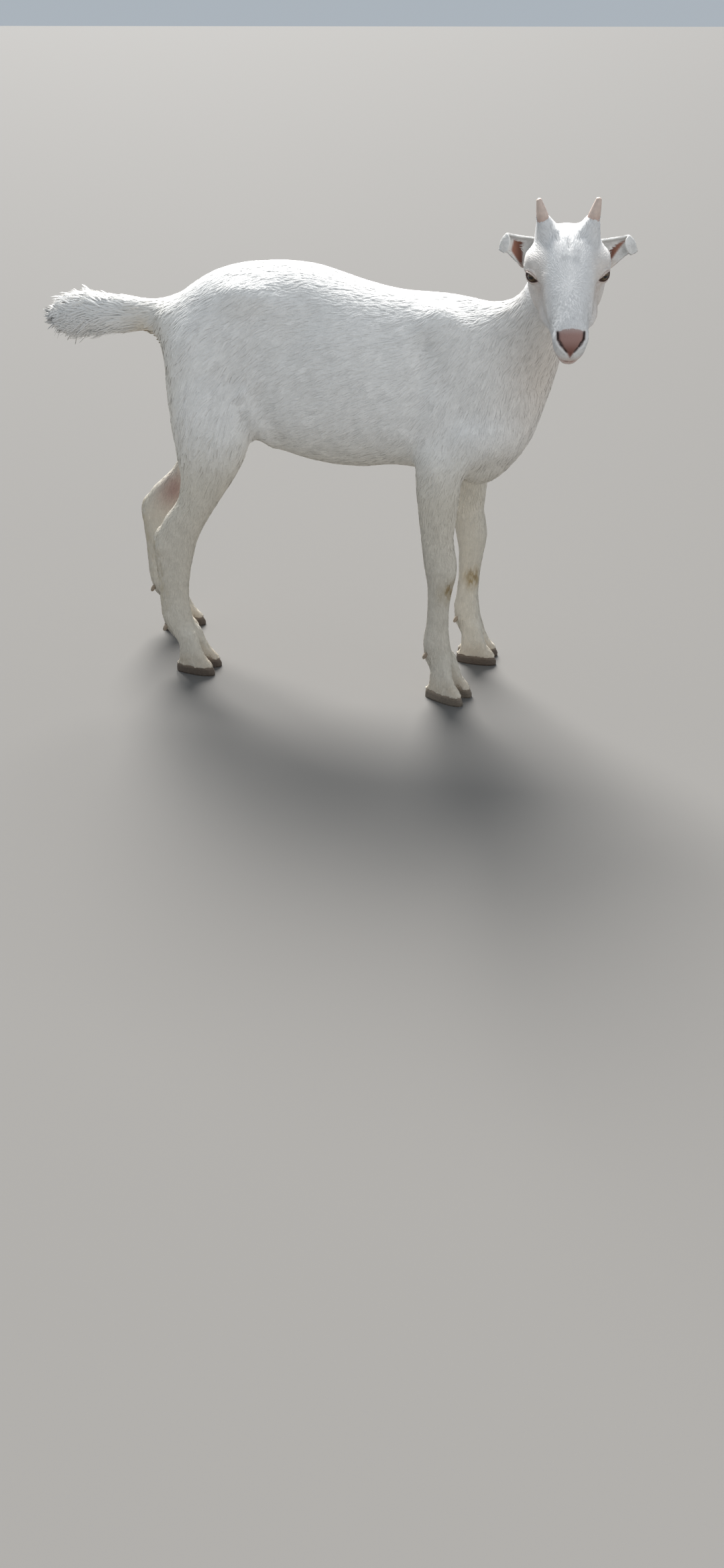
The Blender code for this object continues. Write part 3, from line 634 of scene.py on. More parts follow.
def lid_rim(sign):
    """A closed rounded rim that follows the almond over the eyeball."""

    def place(u, v):
        turn, round_ = u * 2 * math.pi, v * 2 * math.pi
        long = np.cos(turn) * 1.02
        high = np.sin(turn) * (1 - LID_PINCH * long**2)
        middle = np.outer(long * LID_LONG, LID_ALONG) + np.outer(high * LID_HIGH, LID_UP)
        middle += np.outer(np.sqrt(np.clip(EYE_RADIUS**2 - (middle**2).sum(1), 1e-9, None)), GAZE)
        out, beside = unit(middle), unit(middle - GAZE * (middle @ GAZE)[:, None])
        thick = 0.00062 + 0.00085 * np.clip(np.sin(turn), 0, 1)
        bend = out * np.cos(round_)[:, None] + beside * np.sin(round_)[:, None]
        spot = EYE + out * (EYE_RADIUS + 0.0005) + thick[:, None] * bend
        spot[:, 1] *= sign
        return from_head(spot).T

    return patch(56, 9, place)


for sign in SIDES.values():
    poured(lid_rim(sign), skin)
print("lids opened; skin has", len(skin.faces), "faces")

# %% [markdown]
# ## Folded ears
#
# The ears are short and turn over at the tip. Each is one leaf of gristle: a grid bent into a cup
# that opens forward, its upper edge rolled over and its tip hooked forward and down, then given
# thickness. The leaf's root is buried in the head, where the coat hides the join. First come its
# measures: the two edges of the flat leaf, as places out from the middle of the head and up.

# %% Measures of the ears
EAR_LOWER = (
    (0.034, -0.0320), (0.050, -0.0255), (0.060, -0.0165), (0.069, -0.0080), (0.077, -0.0035),
    (0.0840, 0.0002), (0.0885, 0.0062),
)
EAR_UPPER = (
    (0.034, 0.0100), (0.046, 0.0118), (0.058, 0.0134), (0.069, 0.0152), (0.079, 0.0203),
    (0.0870, 0.0198), (0.0905, 0.0130),
)
EAR_LIFT = {1: -0.002, -1: 0.002}
EAR_REACH = {1: 1.13, -1: 0.975}  # how much longer each ear is, past 50 mm out
# The bare hollow of each ear is painted brown below a line: bare skin with painted shade in the
# hollow.
EAR_SHADE = {1: -0.0029, -1: 0.0070}  # the upper edge of the bare hollow, where it starts
EAR_SLOPE = {1: 0.62, -1: 0.36}  # and how steeply it climbs
EAR_RIM = {1: 0.0668, -1: 0.068}  # how far out the hollow reaches at its lower edge
EAR_ROOT = np.array((-0.045, 0, 0))
EAR_UP, EAR_FRONT = np.array((-0.54, 0, 0.84)), np.array((0.84, 0, 0.54))
EAR_THICK = 0.0022
EAR_CUP = 0.012
# Each roll: a point of its line, the way across it, the rod's radius.
EDGE_ROLL = ((0.036, 0.0055), (-0.116, 0.993), 0.0036)
TIP_ROLL = ((0.0646, 0.0122), (0.768, 0.640), 0.0032)
TIP_TURN, TIP_BOW = 2.75, 0.0040
print("rows along an ear:", len(EAR_LOWER))

# %% [markdown]
# ## Smooth lines and rolled edges
#
# A few rows of numbers become a smooth line when each stretch takes its slope from the rows on both
# sides. To roll an edge, everything past a line is wound round a rod, as paper is round a pencil.
# The horns use the smooth line as well.


# %% Lines and rolls
def curve(rows, t):
    """A smooth line through rows, read at t from 0 to 1."""
    rows = np.asarray(rows, float)
    spot = np.clip(t, 0, 1) * (len(rows) - 1)
    i = np.clip(spot.astype(int), 0, len(rows) - 2)
    f = (spot - i)[:, None]
    before, after = rows[np.clip(i - 1, 0, None)], rows[np.clip(i + 2, None, len(rows) - 1)]
    one, two = rows[i], rows[i + 1]
    slope_1, slope_2 = (two - before) / 2, (after - one) / 2
    return (
        one * (2 * f**3 - 3 * f**2 + 1) + two * (3 * f**2 - 2 * f**3)
        + slope_1 * (f**3 - 2 * f**2 + f) + slope_2 * (f**3 - f**2)
    )


def rolled(leaf, line, normal, radius, most, bow=0.0):
    """Rolls the part of a leaf past a line forward round a rod, by at most an angle."""
    away = leaf[:, :2] - line
    beside = away @ np.array((-normal[1], normal[0])) / 0.012
    bowed = bow * np.clip(1 - (beside + 0.6) ** 2, 0, 1)
    past = np.clip(away @ np.array(normal) - bowed, 0, None)
    turn = np.minimum(past / radius, most)
    rest = past - radius * turn
    back = radius * np.sin(turn) + rest * np.cos(turn) - past
    forward = radius * (1 - np.cos(turn)) + rest * np.sin(turn)
    return leaf + np.stack([back * normal[0], back * normal[1], forward], axis=1)


print("half way along 0, 1, 4:", curve([[0], [1], [4]], np.array([0.5]))[0, 0])

# %% [markdown]
# ## Making the ears
#
# The grid is laid between the two edges, rolled, cupped and turned into the head's measures. A
# Solidify modifier gives it the thickness of gristle and a Smooth modifier eases the folds.


# %% Ears
def ear_place(u, v, sign):
    """The middle surface of an ear: u from root to tip, v from the lower edge to the upper."""
    flat = curve(EAR_LOWER, u) * (1 - v)[:, None] + curve(EAR_UPPER, u) * v[:, None]
    leaf = np.column_stack([flat, np.zeros(len(u))])
    leaf = rolled(leaf, *EDGE_ROLL, 2.2 * np.clip(1.3 - u * 2.2, 0.001, 1))
    leaf = rolled(leaf, *TIP_ROLL, TIP_TURN, TIP_BOW)
    leaf[:, 2] -= EAR_CUP * (1 - (v * 2 - 1) ** 2) * np.clip(1 - u * 1.3, 0, 1)
    leaf[:, 0] += np.clip(leaf[:, 0] - 0.050, 0, None) * (EAR_REACH[sign] - 1)
    leaf[:, 1] += EAR_LIFT[sign]
    spot = EAR_ROOT + np.outer(leaf[:, 1], EAR_UP) + np.outer(leaf[:, 2], EAR_FRONT)
    spot[:, 1] = leaf[:, 0] * sign
    return from_head(spot)


def ear(sign):
    """One ear: the leaf, given thickness and eased."""
    bm = patch(36, 26, lambda u, v: ear_place(u, v, sign).T)
    obj = as_object("ear", bm)
    thick = obj.modifiers.new("gristle", "SOLIDIFY")
    thick.thickness = EAR_THICK
    thick.offset = 0.0
    ease = obj.modifiers.new("ease", "SMOOTH")
    ease.factor = 0.5
    ease.iterations = 6
    made = settled(obj)
    bmesh.ops.recalc_face_normals(made, faces=made.faces)
    return made


EAR_FROM = len(skin.verts)  # the skin's points from here on are ears
for sign in SIDES.values():
    poured(ear(sign), skin)
bmesh.ops.triangulate(skin, faces=skin.faces)
print("ears:", len(skin.verts) - EAR_FROM, "points; skin:", len(skin.faces), "triangles")

# %% [markdown]
# ## Markings
#
# The goat is white, but no white animal is one white. Its belly and throat are creamier, its knees
# and hocks are stained by lying down, and bare skin shows at the nose, the lids and inside the
# ears. Shade is painted in as well: the lower body, the legs and the throat darker, the head
# greyer, the sides of the face warmer and darker, and painted shade in the cheek hollows, the
# forehead crease, the mouth, the nostrils, the lower nose pad and the hollows of the ears. The
# colours are worked out once, as a function of place, and given both to the skin and to the hair
# that grows there, so a gap between two locks never shows a wrong colour.

# %% Bare places of the face and ears
# The half width of the nose pad at each height over its middle.
PAD_HEIGHTS = (-0.0095, -0.0035, 0.0025, 0.0105, 0.0160, 0.0192, 0.0215, 0.0230)
PAD_WIDTHS = (0, 0.0042, 0.0094, 0.0148, 0.0157, 0.0138, 0.0092, 0)
NOSTRIL = ((0.0153, 0.0182), (0.0148, 0.0108), (0.0096, 0.0028), (0.0042, -0.0035))
NOSE_FROM = 0.075


def muzzle_plane(side):
    """The face seen straight on: how far aside, and how far up from the nose's middle."""
    up = -0.68 * (side[:, 0] - 0.104) + 0.73 * (side[:, 2] + 0.012)
    return side[:, 1], up


def nose_pad(side):
    """1 on the bare pad of the nose."""
    aside, up = muzzle_plane(side)
    half = np.interp(up, PAD_HEIGHTS, PAD_WIDTHS)
    return step(-0.0018, 0.0020, half - aside) * (side[:, 0] > NOSE_FROM) * (half > 0)


def nostril(side, width):
    """1 in the dark slit of a nostril, which is widest at its upper end."""
    flat = np.column_stack(muzzle_plane(side))
    found = np.zeros(len(flat))
    for one, two, wide in zip(NOSTRIL, NOSTRIL[1:], (1.0, 0.75, 0.5)):
        found = np.maximum(found, stroked(flat, one, two, width * wide))
    return found * (side[:, 0] > NOSE_FROM + 0.003)


def ear_inside(points, normals):
    """1 on the hollow face of an ear."""
    head = in_head(points)
    leaf = head - EAR_ROOT
    facing = normals @ (HEAD_AXES @ EAR_FRONT)
    out, up = np.abs(head[:, 1]), leaf @ EAR_UP
    on_left = head[:, 1] >= 0
    start, slope, rim = (
        np.where(on_left, each[1], each[-1]) for each in (EAR_SHADE, EAR_SLOPE, EAR_RIM)
    )
    under = step(-0.001, 0.002, start + slope * (out - 0.052) - up)
    in_rim = step(0.0015, 0.0040, -0.809 * (out - rim) + 0.588 * (up + 0.004))
    in_fold = step(-0.001, 0.0015, 0.96 * (0.0645 - out) - 0.28 * (up - 0.001))
    in_rim = in_rim * np.where(on_left, 1, in_fold)
    hollow = step(0.05, 0.35, facing) * (leaf @ EAR_FRONT < 0.0035)
    return hollow * under * in_rim * step(0.0495, 0.0530, out)


NOSTRIL_DEPTH = 0.0020
points, normals = points_of(skin), normals_of(skin)
pressed = NOSTRIL_DEPTH * nostril(mirrored(in_head(points)), 0.0018)
put(skin, points - normals * pressed[:, None])
print("nostrils pressed in")

# %% [markdown]
# ## Paint from nose to tail
#
# The white is painted over in thin layers, as with an airbrush: each call lays one colour over the
# coat with an amount for every point, and says whether bare skin shows there. Stains are broken up
# by slow ripples, because a smooth round stain looks printed.

# %% Paint every point
WHITE = (0.88, 0.875, 0.86)
KNEE_STAIN = {-1: (0.208, -0.078, 0.178), 1: (0.222, 0.056, 0.146)}
HOCK_BACK = {-1: 0.0, 1: -0.075}  # how much further back the left hind leg stands
MOUTH = ((0.1005, 0.0, -0.0385), (0.084, 0.0160, -0.0370))
TEAR = ((0.009, 0.0400, 0.0020), (0.0235, 0.0325, 0.0070))
FOREHEAD_CREASE_SHADE = ((-0.019, 0.0, 0.0375), (-0.007, 0.0, 0.0350))


def markings(points, normals, ears):
    """A linear colour for every point, and how bare of hair it is."""
    body, head = in_body(points), in_head(points)
    side, face = mirrored(body), mirrored(head)
    mask = masks(points)
    colour = np.tile(np.array(WHITE), (len(points), 1))
    bare = np.zeros(len(points))

    def paint(value, amount, skin_shows=0.0):
        amount = np.clip(amount, 0, 1)
        colour[:] = colour + (np.array(value) - colour) * amount[:, None]
        bare[:] = np.maximum(bare, amount * skin_shows)

    # Creamier and darker towards the bottom of the body and down the legs: a real cream belly with
    # painted shade over it.
    paint((0.66, 0.61, 0.51), 0.80 * (1 - step(0.30, 0.42, side[:, 2])))
    paint((0.74, 0.69, 0.58), 0.8 * near(side, (-0.215, 0.03, 0.41), (0.04, 0.06, 0.11)))
    # A creamier throat, darkened with painted shade where the head hangs over it.
    paint((0.76, 0.68, 0.60), 0.7 * near(body, (0.31, -0.03, 0.48), (0.05, 0.06, 0.10)))
    paint((0.62, 0.50, 0.32), 0.75 * near(body, (-0.236, 0.0, 0.485), (0.016, 0.028, 0.028)))
    paint((0.80, 0.60, 0.52), 0.75 * near(side, (-0.135, 0.035, 0.315), (0.035, 0.018, 0.035)), 0.6)
    inner_hock = near(body, (-0.252, 0.046, 0.252), (0.034, 0.012, 0.040))
    paint((0.40, 0.27, 0.24), 1.05 * inner_hock, 0.45)
    blot = 0.5 + 0.5 * ripples(points, 0.013, 5)
    for flank in (-1, 1):
        knee = near(body, KNEE_STAIN[flank], (0.013, 0.016, 0.015))
        paint((0.42, 0.33, 0.19), 1.30 * knee * (0.4 + 0.6 * step(0.05, 0.75, blot)))
        paint((0.24, 0.16, 0.08), 0.9 * knee**3 * step(0.3, 0.8, blot))
        shift = HOCK_BACK[flank]
        hock = near(body, (-0.243 + shift, 0.068 * flank, 0.215), (0.012, 0.020, 0.028))
        shank = near(body, (-0.236 + shift, 0.070 * flank, 0.140), (0.012, 0.020, 0.055))
        paint((0.56, 0.48, 0.33), 0.90 * hock * step(0.1, 0.7, blot) + 0.75 * shank * blot)
    paint((0.60, 0.50, 0.38), 0.55 * (1 - step(0.022, 0.050, side[:, 2])) * (0.5 + 0.5 * blot))
    # Painted shade: the head greyed towards a cool blue-grey.
    paint((0.72, 0.73, 0.75), 0.50 * mask["head"] * (1 - ears))
    # Painted shade: the sides of the face darker and warmer, as if lit from the ground.
    paint((0.76, 0.69, 0.63), 0.75 * mask["face"] * step(0.018, 0.036, face[:, 1]))
    paint((0.80, 0.66, 0.60), 0.7 * mask["muzzle"] * (1 - step(-0.034, -0.020, face[:, 2])))
    paint((0.66, 0.42, 0.36), 0.8 * stroked(face, *MOUTH, 0.0030) * mask["muzzle"], 0.8)
    # The dark line where the lips meet is painted shade in the mouth's crease.
    paint((0.20, 0.11, 0.09), stroked(face, *MOUTH, 0.0015) * step(0.085, 0.095, face[:, 0]), 1.0)
    # Painted shade in the hollow of the cheek, before the eye.
    paint((0.58, 0.50, 0.45), 0.55 * near(face, (0.026, 0.0345, 0.000), (0.012, 0.010, 0.009)))
    paint((0.34, 0.23, 0.19), 0.80 * stroked(face, *TEAR, 0.0012), 0.7)
    # A dark line along the crease of the forehead: painted shade.
    paint((0.42, 0.38, 0.35), 0.75 * stroked(face, *FOREHEAD_CREASE_SHADE, 0.0010))
    pad, pad_up = nose_pad(face), muzzle_plane(face)[1]
    groove = np.exp(-((face[:, 1] / 0.0022) ** 2)) * step(0.004, -0.006, pad_up)
    paint((0.38, 0.235, 0.210), pad, 1.0)
    paint((0.50, 0.40, 0.38), 0.7 * pad * step(0.0145, 0.0225, pad_up))
    # The lower nose pad is darker, and its middle groove darker still: painted shade.
    paint((0.20, 0.085, 0.066), 0.85 * pad * (1 - step(-0.006, 0.012, pad_up)))
    paint((0.24, 0.10, 0.08), 0.7 * pad * groove)
    bare[:] = np.maximum(bare, step(0.06, 0.3, nostril(face, 0.0036)))
    # The nostril slits are painted dark and near black in the middle: painted shade inside the
    # openings.
    paint((0.30, 0.18, 0.16), 0.75 * nostril(face, 0.0017))
    paint((0.022, 0.011, 0.010), nostril(face, 0.0013) * 1.3, 1.0)
    across, outer = almond(face)
    socket = (across < 3) & outer & (np.linalg.norm(face - EYE, axis=1) < 0.020)
    paint((0.70, 0.56, 0.50), 0.60 * socket * (1 - step(1.25, 1.9, across)))
    paint((0.075, 0.042, 0.036), socket * (1 - step(1.10, 1.24, across)), 1.0)
    inside = ear_inside(points, normals) * ears
    # Inside the ears: bare skin painted brown for the shade in the hollow, and darker deeper in:
    # painted shade.
    paint((0.40, 0.19, 0.135), inside, 1.0)
    ear_deep_shade = inside * (1 - step(0.052, 0.066, np.abs(head[:, 1])))
    paint((0.12, 0.045, 0.030), 0.8 * ear_deep_shade)
    cream = ears * (1 - step(-0.024, -0.010, face[:, 2])) * (1 - inside)
    paint((0.84, 0.66, 0.52), 0.6 * cream)
    return colour, bare


print("layers of paint ready")

# %% [markdown]
# ## Plain materials
#
# Every finish starts from the plain shader with its own gloss. A node takes numbers where a value
# is the same all over, and another node's socket where it changes over the surface.


# %% Materials
def material_of(name, roughness, specular=0.5, coat=0.0):
    """A material with a plain shader, and its node tree to add to."""
    material = bpy.data.materials.new(name)
    material.use_nodes = True
    tree = material.node_tree
    shader = tree.nodes["Principled BSDF"]
    shader.inputs["Roughness"].default_value = roughness
    shader.inputs["Specular IOR Level"].default_value = specular
    shader.inputs["Coat Weight"].default_value = coat
    shader.inputs["Coat Roughness"].default_value = 0.04
    return material, tree, shader


def node(tree, kind, settings=(), **inputs):
    """A new node; each input takes a number or another node's socket. Spaces are written _."""
    made = tree.nodes.new("ShaderNode" + kind)
    for name, value in dict(settings).items():
        setattr(made, name, value)
    for name, value in inputs.items():
        socket = made.inputs[name.replace("_", " ")]
        if isinstance(value, bpy.types.NodeSocket):
            tree.links.new(value, socket)
        else:
            socket.default_value = value
    return made


def attribute(tree, name):
    """The outputs of a node that reads what a mesh stores for each point."""
    return node(tree, "Attribute", {"attribute_name": name}).outputs


print("helpers for materials ready")

# %% [markdown]
# ## A finish that more than one piece needs
#
# Skin, hair, horn and iris all have a colour that is slightly uneven, and most have a fine relief
# that goes with it. That is one effect, so it is one node group, built once, and each material
# places it with its own scale, strength and stretch.


# %% Uneven grain
def uneven_group():
    """The node group: a colour made darker and lighter by noise, and a relief that goes with it."""
    group = bpy.data.node_groups.new("uneven grain", "ShaderNodeTree")
    for name, kind, value in (
        ("Colour", "Color", (1, 1, 1, 1)), ("Scale", "Float", 400.0),
        ("Stretch", "Vector", (1, 1, 1)), ("Darkest", "Float", 0.9),
        ("Lightest", "Float", 1.1), ("Relief", "Float", 0.0002),
    ):
        socket = group.interface.new_socket(name, in_out="INPUT", socket_type="NodeSocket" + kind)
        socket.default_value = value
    for name, kind in (("Colour", "Color"), ("Normal", "Vector")):
        group.interface.new_socket(name, in_out="OUTPUT", socket_type="NodeSocket" + kind)
    given, result = group.nodes.new("NodeGroupInput"), group.nodes.new("NodeGroupOutput")
    asked = given.outputs
    place = node(group, "TexCoord").outputs["Object"]
    place = node(group, "Mapping", Vector=place, Scale=asked["Stretch"]).outputs["Vector"]
    noise = node(group, "TexNoise", Vector=place, Scale=asked["Scale"], Detail=3).outputs["Fac"]
    level = node(
        group, "MapRange", Value=noise, From_Min=0.3, From_Max=0.7,
        To_Min=asked["Darkest"], To_Max=asked["Lightest"],
    ).outputs["Result"]
    scaled = node(group, "VectorMath", {"operation": "SCALE"}, Vector=asked["Colour"], Scale=level)
    bump = node(group, "Bump", Height=noise, Distance=asked["Relief"], Strength=0.6)
    group.links.new(scaled.outputs["Vector"], result.inputs["Colour"])
    group.links.new(bump.outputs["Normal"], result.inputs["Normal"])
    return group


UNEVEN = uneven_group()


def uneven(tree, colour, scale, darkest, lightest, stretch=(1, 1, 1), relief=None, shader=None):
    """Places the group on a colour; with a shader it also gives the shader its relief."""
    placed = tree.nodes.new("ShaderNodeGroup")
    placed.node_tree = UNEVEN
    tree.links.new(colour, placed.inputs["Colour"])
    values = {"Scale": scale, "Stretch": stretch, "Darkest": darkest, "Lightest": lightest}
    for name, value in values.items():
        placed.inputs[name].default_value = value
    if shader:
        placed.inputs["Relief"].default_value = relief
        tree.links.new(placed.outputs["Normal"], shader.inputs["Normal"])
    return placed.outputs["Colour"]


print("node group:", UNEVEN.name)

# %% [markdown]
# ## The skin as a finished piece
#
# The skin becomes an object whose mesh carries the colours as an attribute called "tint". It
# stands for every flesh solid and both ears. Its material adds only what is finer than the points:
# a slight unevenness of colour, and a relief like short flat hair.


# %% Finish the skin
def finished(name, bm, stands_for, material):
    """A smooth object from a bmesh that rides the body and stands for its solids."""
    obj = as_object(name, bm)
    obj.data.shade_smooth()
    obj.data.materials.append(material)
    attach(obj, "root")
    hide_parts(*stands_for)
    return obj


def marked(mesh, name, kind, field, values):
    """Stores one value for every point of a mesh, for its material to read."""
    layer = mesh.attributes.new(name, kind, "POINT")
    layer.data.foreach_set(field, values.astype(np.float32).ravel())


def tinted(mesh, colour):
    """Stores a linear colour for every point of a mesh."""
    marked(mesh, "tint", "FLOAT_COLOR", "color", np.column_stack([colour, np.ones(len(colour))]))


hide, tree, shader = material_of("skin and short hair", 0.72, 0.3)
tint = attribute(tree, "tint")["Color"]
colour = uneven(tree, tint, 900, 0.93, 1.03, relief=0.0003, shader=shader)
tree.links.new(colour, shader.inputs["Base Color"])

EAR_FLAG = (np.arange(len(skin.verts)) >= EAR_FROM).astype(float)
skin_points, skin_normals = points_of(skin), normals_of(skin)
skin_colour, skin_bare = markings(skin_points, skin_normals, EAR_FLAG)
skin_faces = np.array([[vert.index for vert in face.verts] for face in skin.faces])
skin_tree = BVHTree.FromPolygons(skin_points.tolist(), skin_faces.tolist())
skin_piece = finished("skin", skin, FLESH + ["ear_left", "ear_right"], hide)
tinted(skin_piece.data, skin_colour)
print("skin:", len(skin_faces), "triangles")

# %% [markdown]
# ## Eyes
#
# A goat's eye is an amber ball with a dark slit that stays level with the ground. The clear front
# bulges slightly, which puts a small bright spot on it. An attribute tells the material how far
# each point is across and above the middle of the gaze, in eyeball radii, so that ring and slit are
# drawn by distance and not by a picture.

# %% Eyes
IRIS_INNER, IRIS_OUTER = (0.130, 0.082, 0.036), (0.060, 0.038, 0.020)
IRIS_RIM, BALL, PUPIL = (0.035, 0.022, 0.018), (0.16, 0.10, 0.085), (0.004, 0.004, 0.005)
SLIT_LONG, SLIT_HIGH = 0.33, 0.135
eye_material, tree, shader = material_of("eye", 0.12, 0.30, 0.25)


def maths(tree, operation, *values):
    """One step of arithmetic on numbers and sockets."""
    made = node(tree, "Math", {"operation": operation})
    for socket, value in zip(made.inputs, values):
        if isinstance(value, bpy.types.NodeSocket):
            tree.links.new(value, socket)
        else:
            socket.default_value = value
    return made.outputs["Value"]


def soft_step(tree, low, high, value):
    """0 below low, 1 above high, and a smooth slope between, as nodes."""
    smooth = {"interpolation_type": "SMOOTHSTEP"}
    made = node(tree, "MapRange", smooth, Value=value, From_Min=low, From_Max=high)
    return made.outputs["Result"]


def blended(tree, amount, one, two):
    """One colour where the amount is 0, the other where it is 1."""
    made = node(tree, "Mix", {"data_type": "RGBA"})
    tree.links.new(amount, made.inputs["Factor"])
    for socket, value in ((made.inputs[6], one), (made.inputs[7], two)):
        if isinstance(value, tuple):
            socket.default_value = (*value, 1)
        else:
            tree.links.new(value, socket)
    return made.outputs[2]


split = node(tree, "SeparateXYZ", Vector=attribute(tree, "gaze")["Vector"]).outputs
squares = [maths(tree, "MULTIPLY", split[axis], split[axis]) for axis in "XY"]
ring = maths(tree, "SQRT", maths(tree, "ADD", *squares))
slit = [
    maths(tree, "POWER", maths(tree, "DIVIDE", maths(tree, "ABSOLUTE", split[axis]), half), 4)
    for axis, half in (("X", SLIT_LONG), ("Y", SLIT_HIGH))
]
iris = blended(tree, soft_step(tree, 0.15, 0.55, ring), IRIS_INNER, IRIS_OUTER)
iris = uneven(tree, iris, 900, 0.7, 1.25)
iris = blended(tree, soft_step(tree, 0.54, 0.62, ring), iris, IRIS_RIM)
ball = blended(tree, soft_step(tree, 0.68, 0.80, ring), iris, BALL)
pupil = soft_step(tree, 0.75, 1.25, maths(tree, "ADD", *slit))
tree.links.new(blended(tree, pupil, PUPIL, ball), shader.inputs["Base Color"])
print("iris and slit drawn with", len(tree.nodes), "nodes")

# %% [markdown]
# ## The eyeballs
#
# Each eye is a sphere whose top is turned to the gaze, with a bulge at the front. Its level axis
# runs flat with the ground whatever the tilt of the head, as a living goat's slit does.

# %% Eyeballs
for side, sign in SIDES.items():
    gaze = HEAD_AXES @ (GAZE * [1, sign, 1])
    gaze /= np.linalg.norm(gaze)
    level = np.cross((0, 0, 1), gaze)
    level /= np.linalg.norm(level)
    over = np.cross(gaze, level)
    bm = bmesh.new()
    bmesh.ops.create_uvsphere(bm, u_segments=64, v_segments=40, radius=1)
    ball_points = points_of(bm)
    angle = np.degrees(np.arccos(np.clip(ball_points[:, 2], -1, 1)))
    bulge = EYE_RADIUS * 0.985 + 0.0008 * np.clip(1 - (angle / 34) ** 2, 0, 1)
    place = from_head(EYE * [1, sign, 1])
    turned = ball_points @ np.stack([level, over, gaze])
    put(bm, place + turned * bulge[:, None])
    eye = finished(f"eyeball_{side}", bm, [f"eye_{side}"], eye_material)
    marked(eye.data, "gaze", "FLOAT_VECTOR", "vector", ball_points)
print("eyes set")

# %% [markdown]
# ## Horns
#
# First horns are short blunt cones, cream at the tip and pink-brown at the foot where blood shows
# through, with fine rings of growth. Each is a tube along its path, closed at both ends by rings of
# no width, with small waves in its radius.

# %% Horns
horn_material, tree, shader = material_of("horn", 0.42, 0.45)
HORN_PINK, HORN_CREAM = (0.46, 0.29, 0.25), (0.70, 0.57, 0.50)
amount = soft_step(tree, 0.25, 0.80, attribute(tree, "along")["Fac"])
pale = blended(tree, amount, HORN_PINK, HORN_CREAM)
pale = uneven(tree, pale, 260, 0.88, 1.05, relief=0.0002, shader=shader)
tree.links.new(pale, shader.inputs["Base Color"])
# Each row: a place on the horn's middle line, then the horn's radius there.
HORN_LINE = (
    (-0.0380, 0.0255, 0.0220, 0.0086), (-0.0414, 0.0275, 0.0330, 0.0082),
    (-0.0438, 0.0294, 0.0425, 0.0075), (-0.0474, 0.0318, 0.0516, 0.0058),
    (-0.0518, 0.0342, 0.0602, 0.0035),
)
CAP_FROM, CAP_LONG = 0.92, 0.08  # where the rounded end begins, and its share of the length


def horn_place(u, v, sign):
    """A point of a horn: u from foot to tip, v round it."""
    at = np.clip(u / CAP_FROM, 0, 1)
    rows = curve(HORN_LINE, at)
    ahead = np.clip(at, 0.05, 1)
    way = unit((curve(HORN_LINE, ahead) - curve(HORN_LINE, ahead - 0.05))[:, :3])
    cap = np.clip((u - CAP_FROM) / CAP_LONG, 0, 1)
    radius = rows[:, 3] * np.sqrt(np.clip(1 - cap**2, 0, 1)) * (u > 0.001)
    radius = radius * (1 + 0.028 * np.sin(u * 46) * (1 - u) + 0.012 * np.sin(v * 12.6 + u * 9))
    one = unit(np.cross(way, (0, 0, 1.0)))
    two = np.cross(way, one)
    spot = rows[:, :3] + way * (cap * rows[:, 3] * 0.9)[:, None]
    turn = v * 2 * math.pi
    spot = spot + radius[:, None] * (one * np.cos(turn)[:, None] + two * np.sin(turn)[:, None])
    spot[:, 1] *= sign
    return from_head(spot)


for side, sign in SIDES.items():
    bm = patch(44, 26, lambda u, v: horn_place(u, v, sign).T)
    height = in_head(points_of(bm))[:, 2]
    horn = finished(f"ringed_horn_{side}", bm, [f"horn_{side}"], horn_material)
    marked(horn.data, "along", "FLOAT", "value", step(0.022, 0.066, height))
print("horns set")

# %% [markdown]
# ## Cloven hooves
#
# The solids of the claws already stand in the right places with flat soles. A remesh rounds their
# edges, fine rings run round the wall parallel to the hair line, and the sole stays flat on the
# floor. The dewclaws are smoothed by subdivision.

# %% Hooves
CLAW_GRID = 0.0016
RING_HIGH, RING_APART = 0.00022, 0.0030  # of the growth rings
SOLE = 0.0016  # everything lower than this is flat on the floor
DEWCLAW_SIZE = 0.70  # how much of its solid shows out of the fur
# Colours of the horn low down: dark, or paler on the right fore foot, and that of a dewclaw.
LOW_HORN, WORN_HORN, DEWCLAW = (0.11, 0.085, 0.066), (0.17, 0.14, 0.11), (0.27, 0.22, 0.17)
TOP_PALER = (0.24, 0.19, 0.14)  # added towards the hair line
claw_material, tree, shader = material_of("hoof horn", 0.55, 0.4)
tint = attribute(tree, "tint")["Color"]
colour = uneven(tree, tint, 320, 0.75, 1.2, (1, 1, 3), relief=0.0003, shader=shader)
tree.links.new(colour, shader.inputs["Base Color"])


def dewclaw_of(name):
    """A small rounded dewclaw, drawn back towards the skin."""
    obj = as_object("rounding", copied(name, 0.0006))
    round_off = obj.modifiers.new("round", "SUBSURF")
    round_off.levels = round_off.render_levels = 2
    bm = settled(obj)
    points = points_of(bm)
    root = np.array(skin_tree.find_nearest(Vector(points.mean(0)))[0])
    put(bm, root + (points - root) * DEWCLAW_SIZE)
    return bm


def claw_of(name):
    """A claw with fine rings round its wall and a flat sole."""
    bm = remeshed(copied(name, 0.0002), CLAW_GRID)
    smoothed(bm, 8, np.ones(len(bm.verts)))
    points, normals = points_of(bm), normals_of(bm)
    rings = np.sin((points[:, 2] * 0.96 + points[:, 0] * 0.2) / RING_APART * 6.283)
    above = step(0.003, 0.006, points[:, 2])
    points = points + normals * (RING_HIGH * rings * above)[:, None]
    points[:, 2] = np.where(points[:, 2] < SOLE, 0.0, points[:, 2])
    put(bm, points)
    return bm


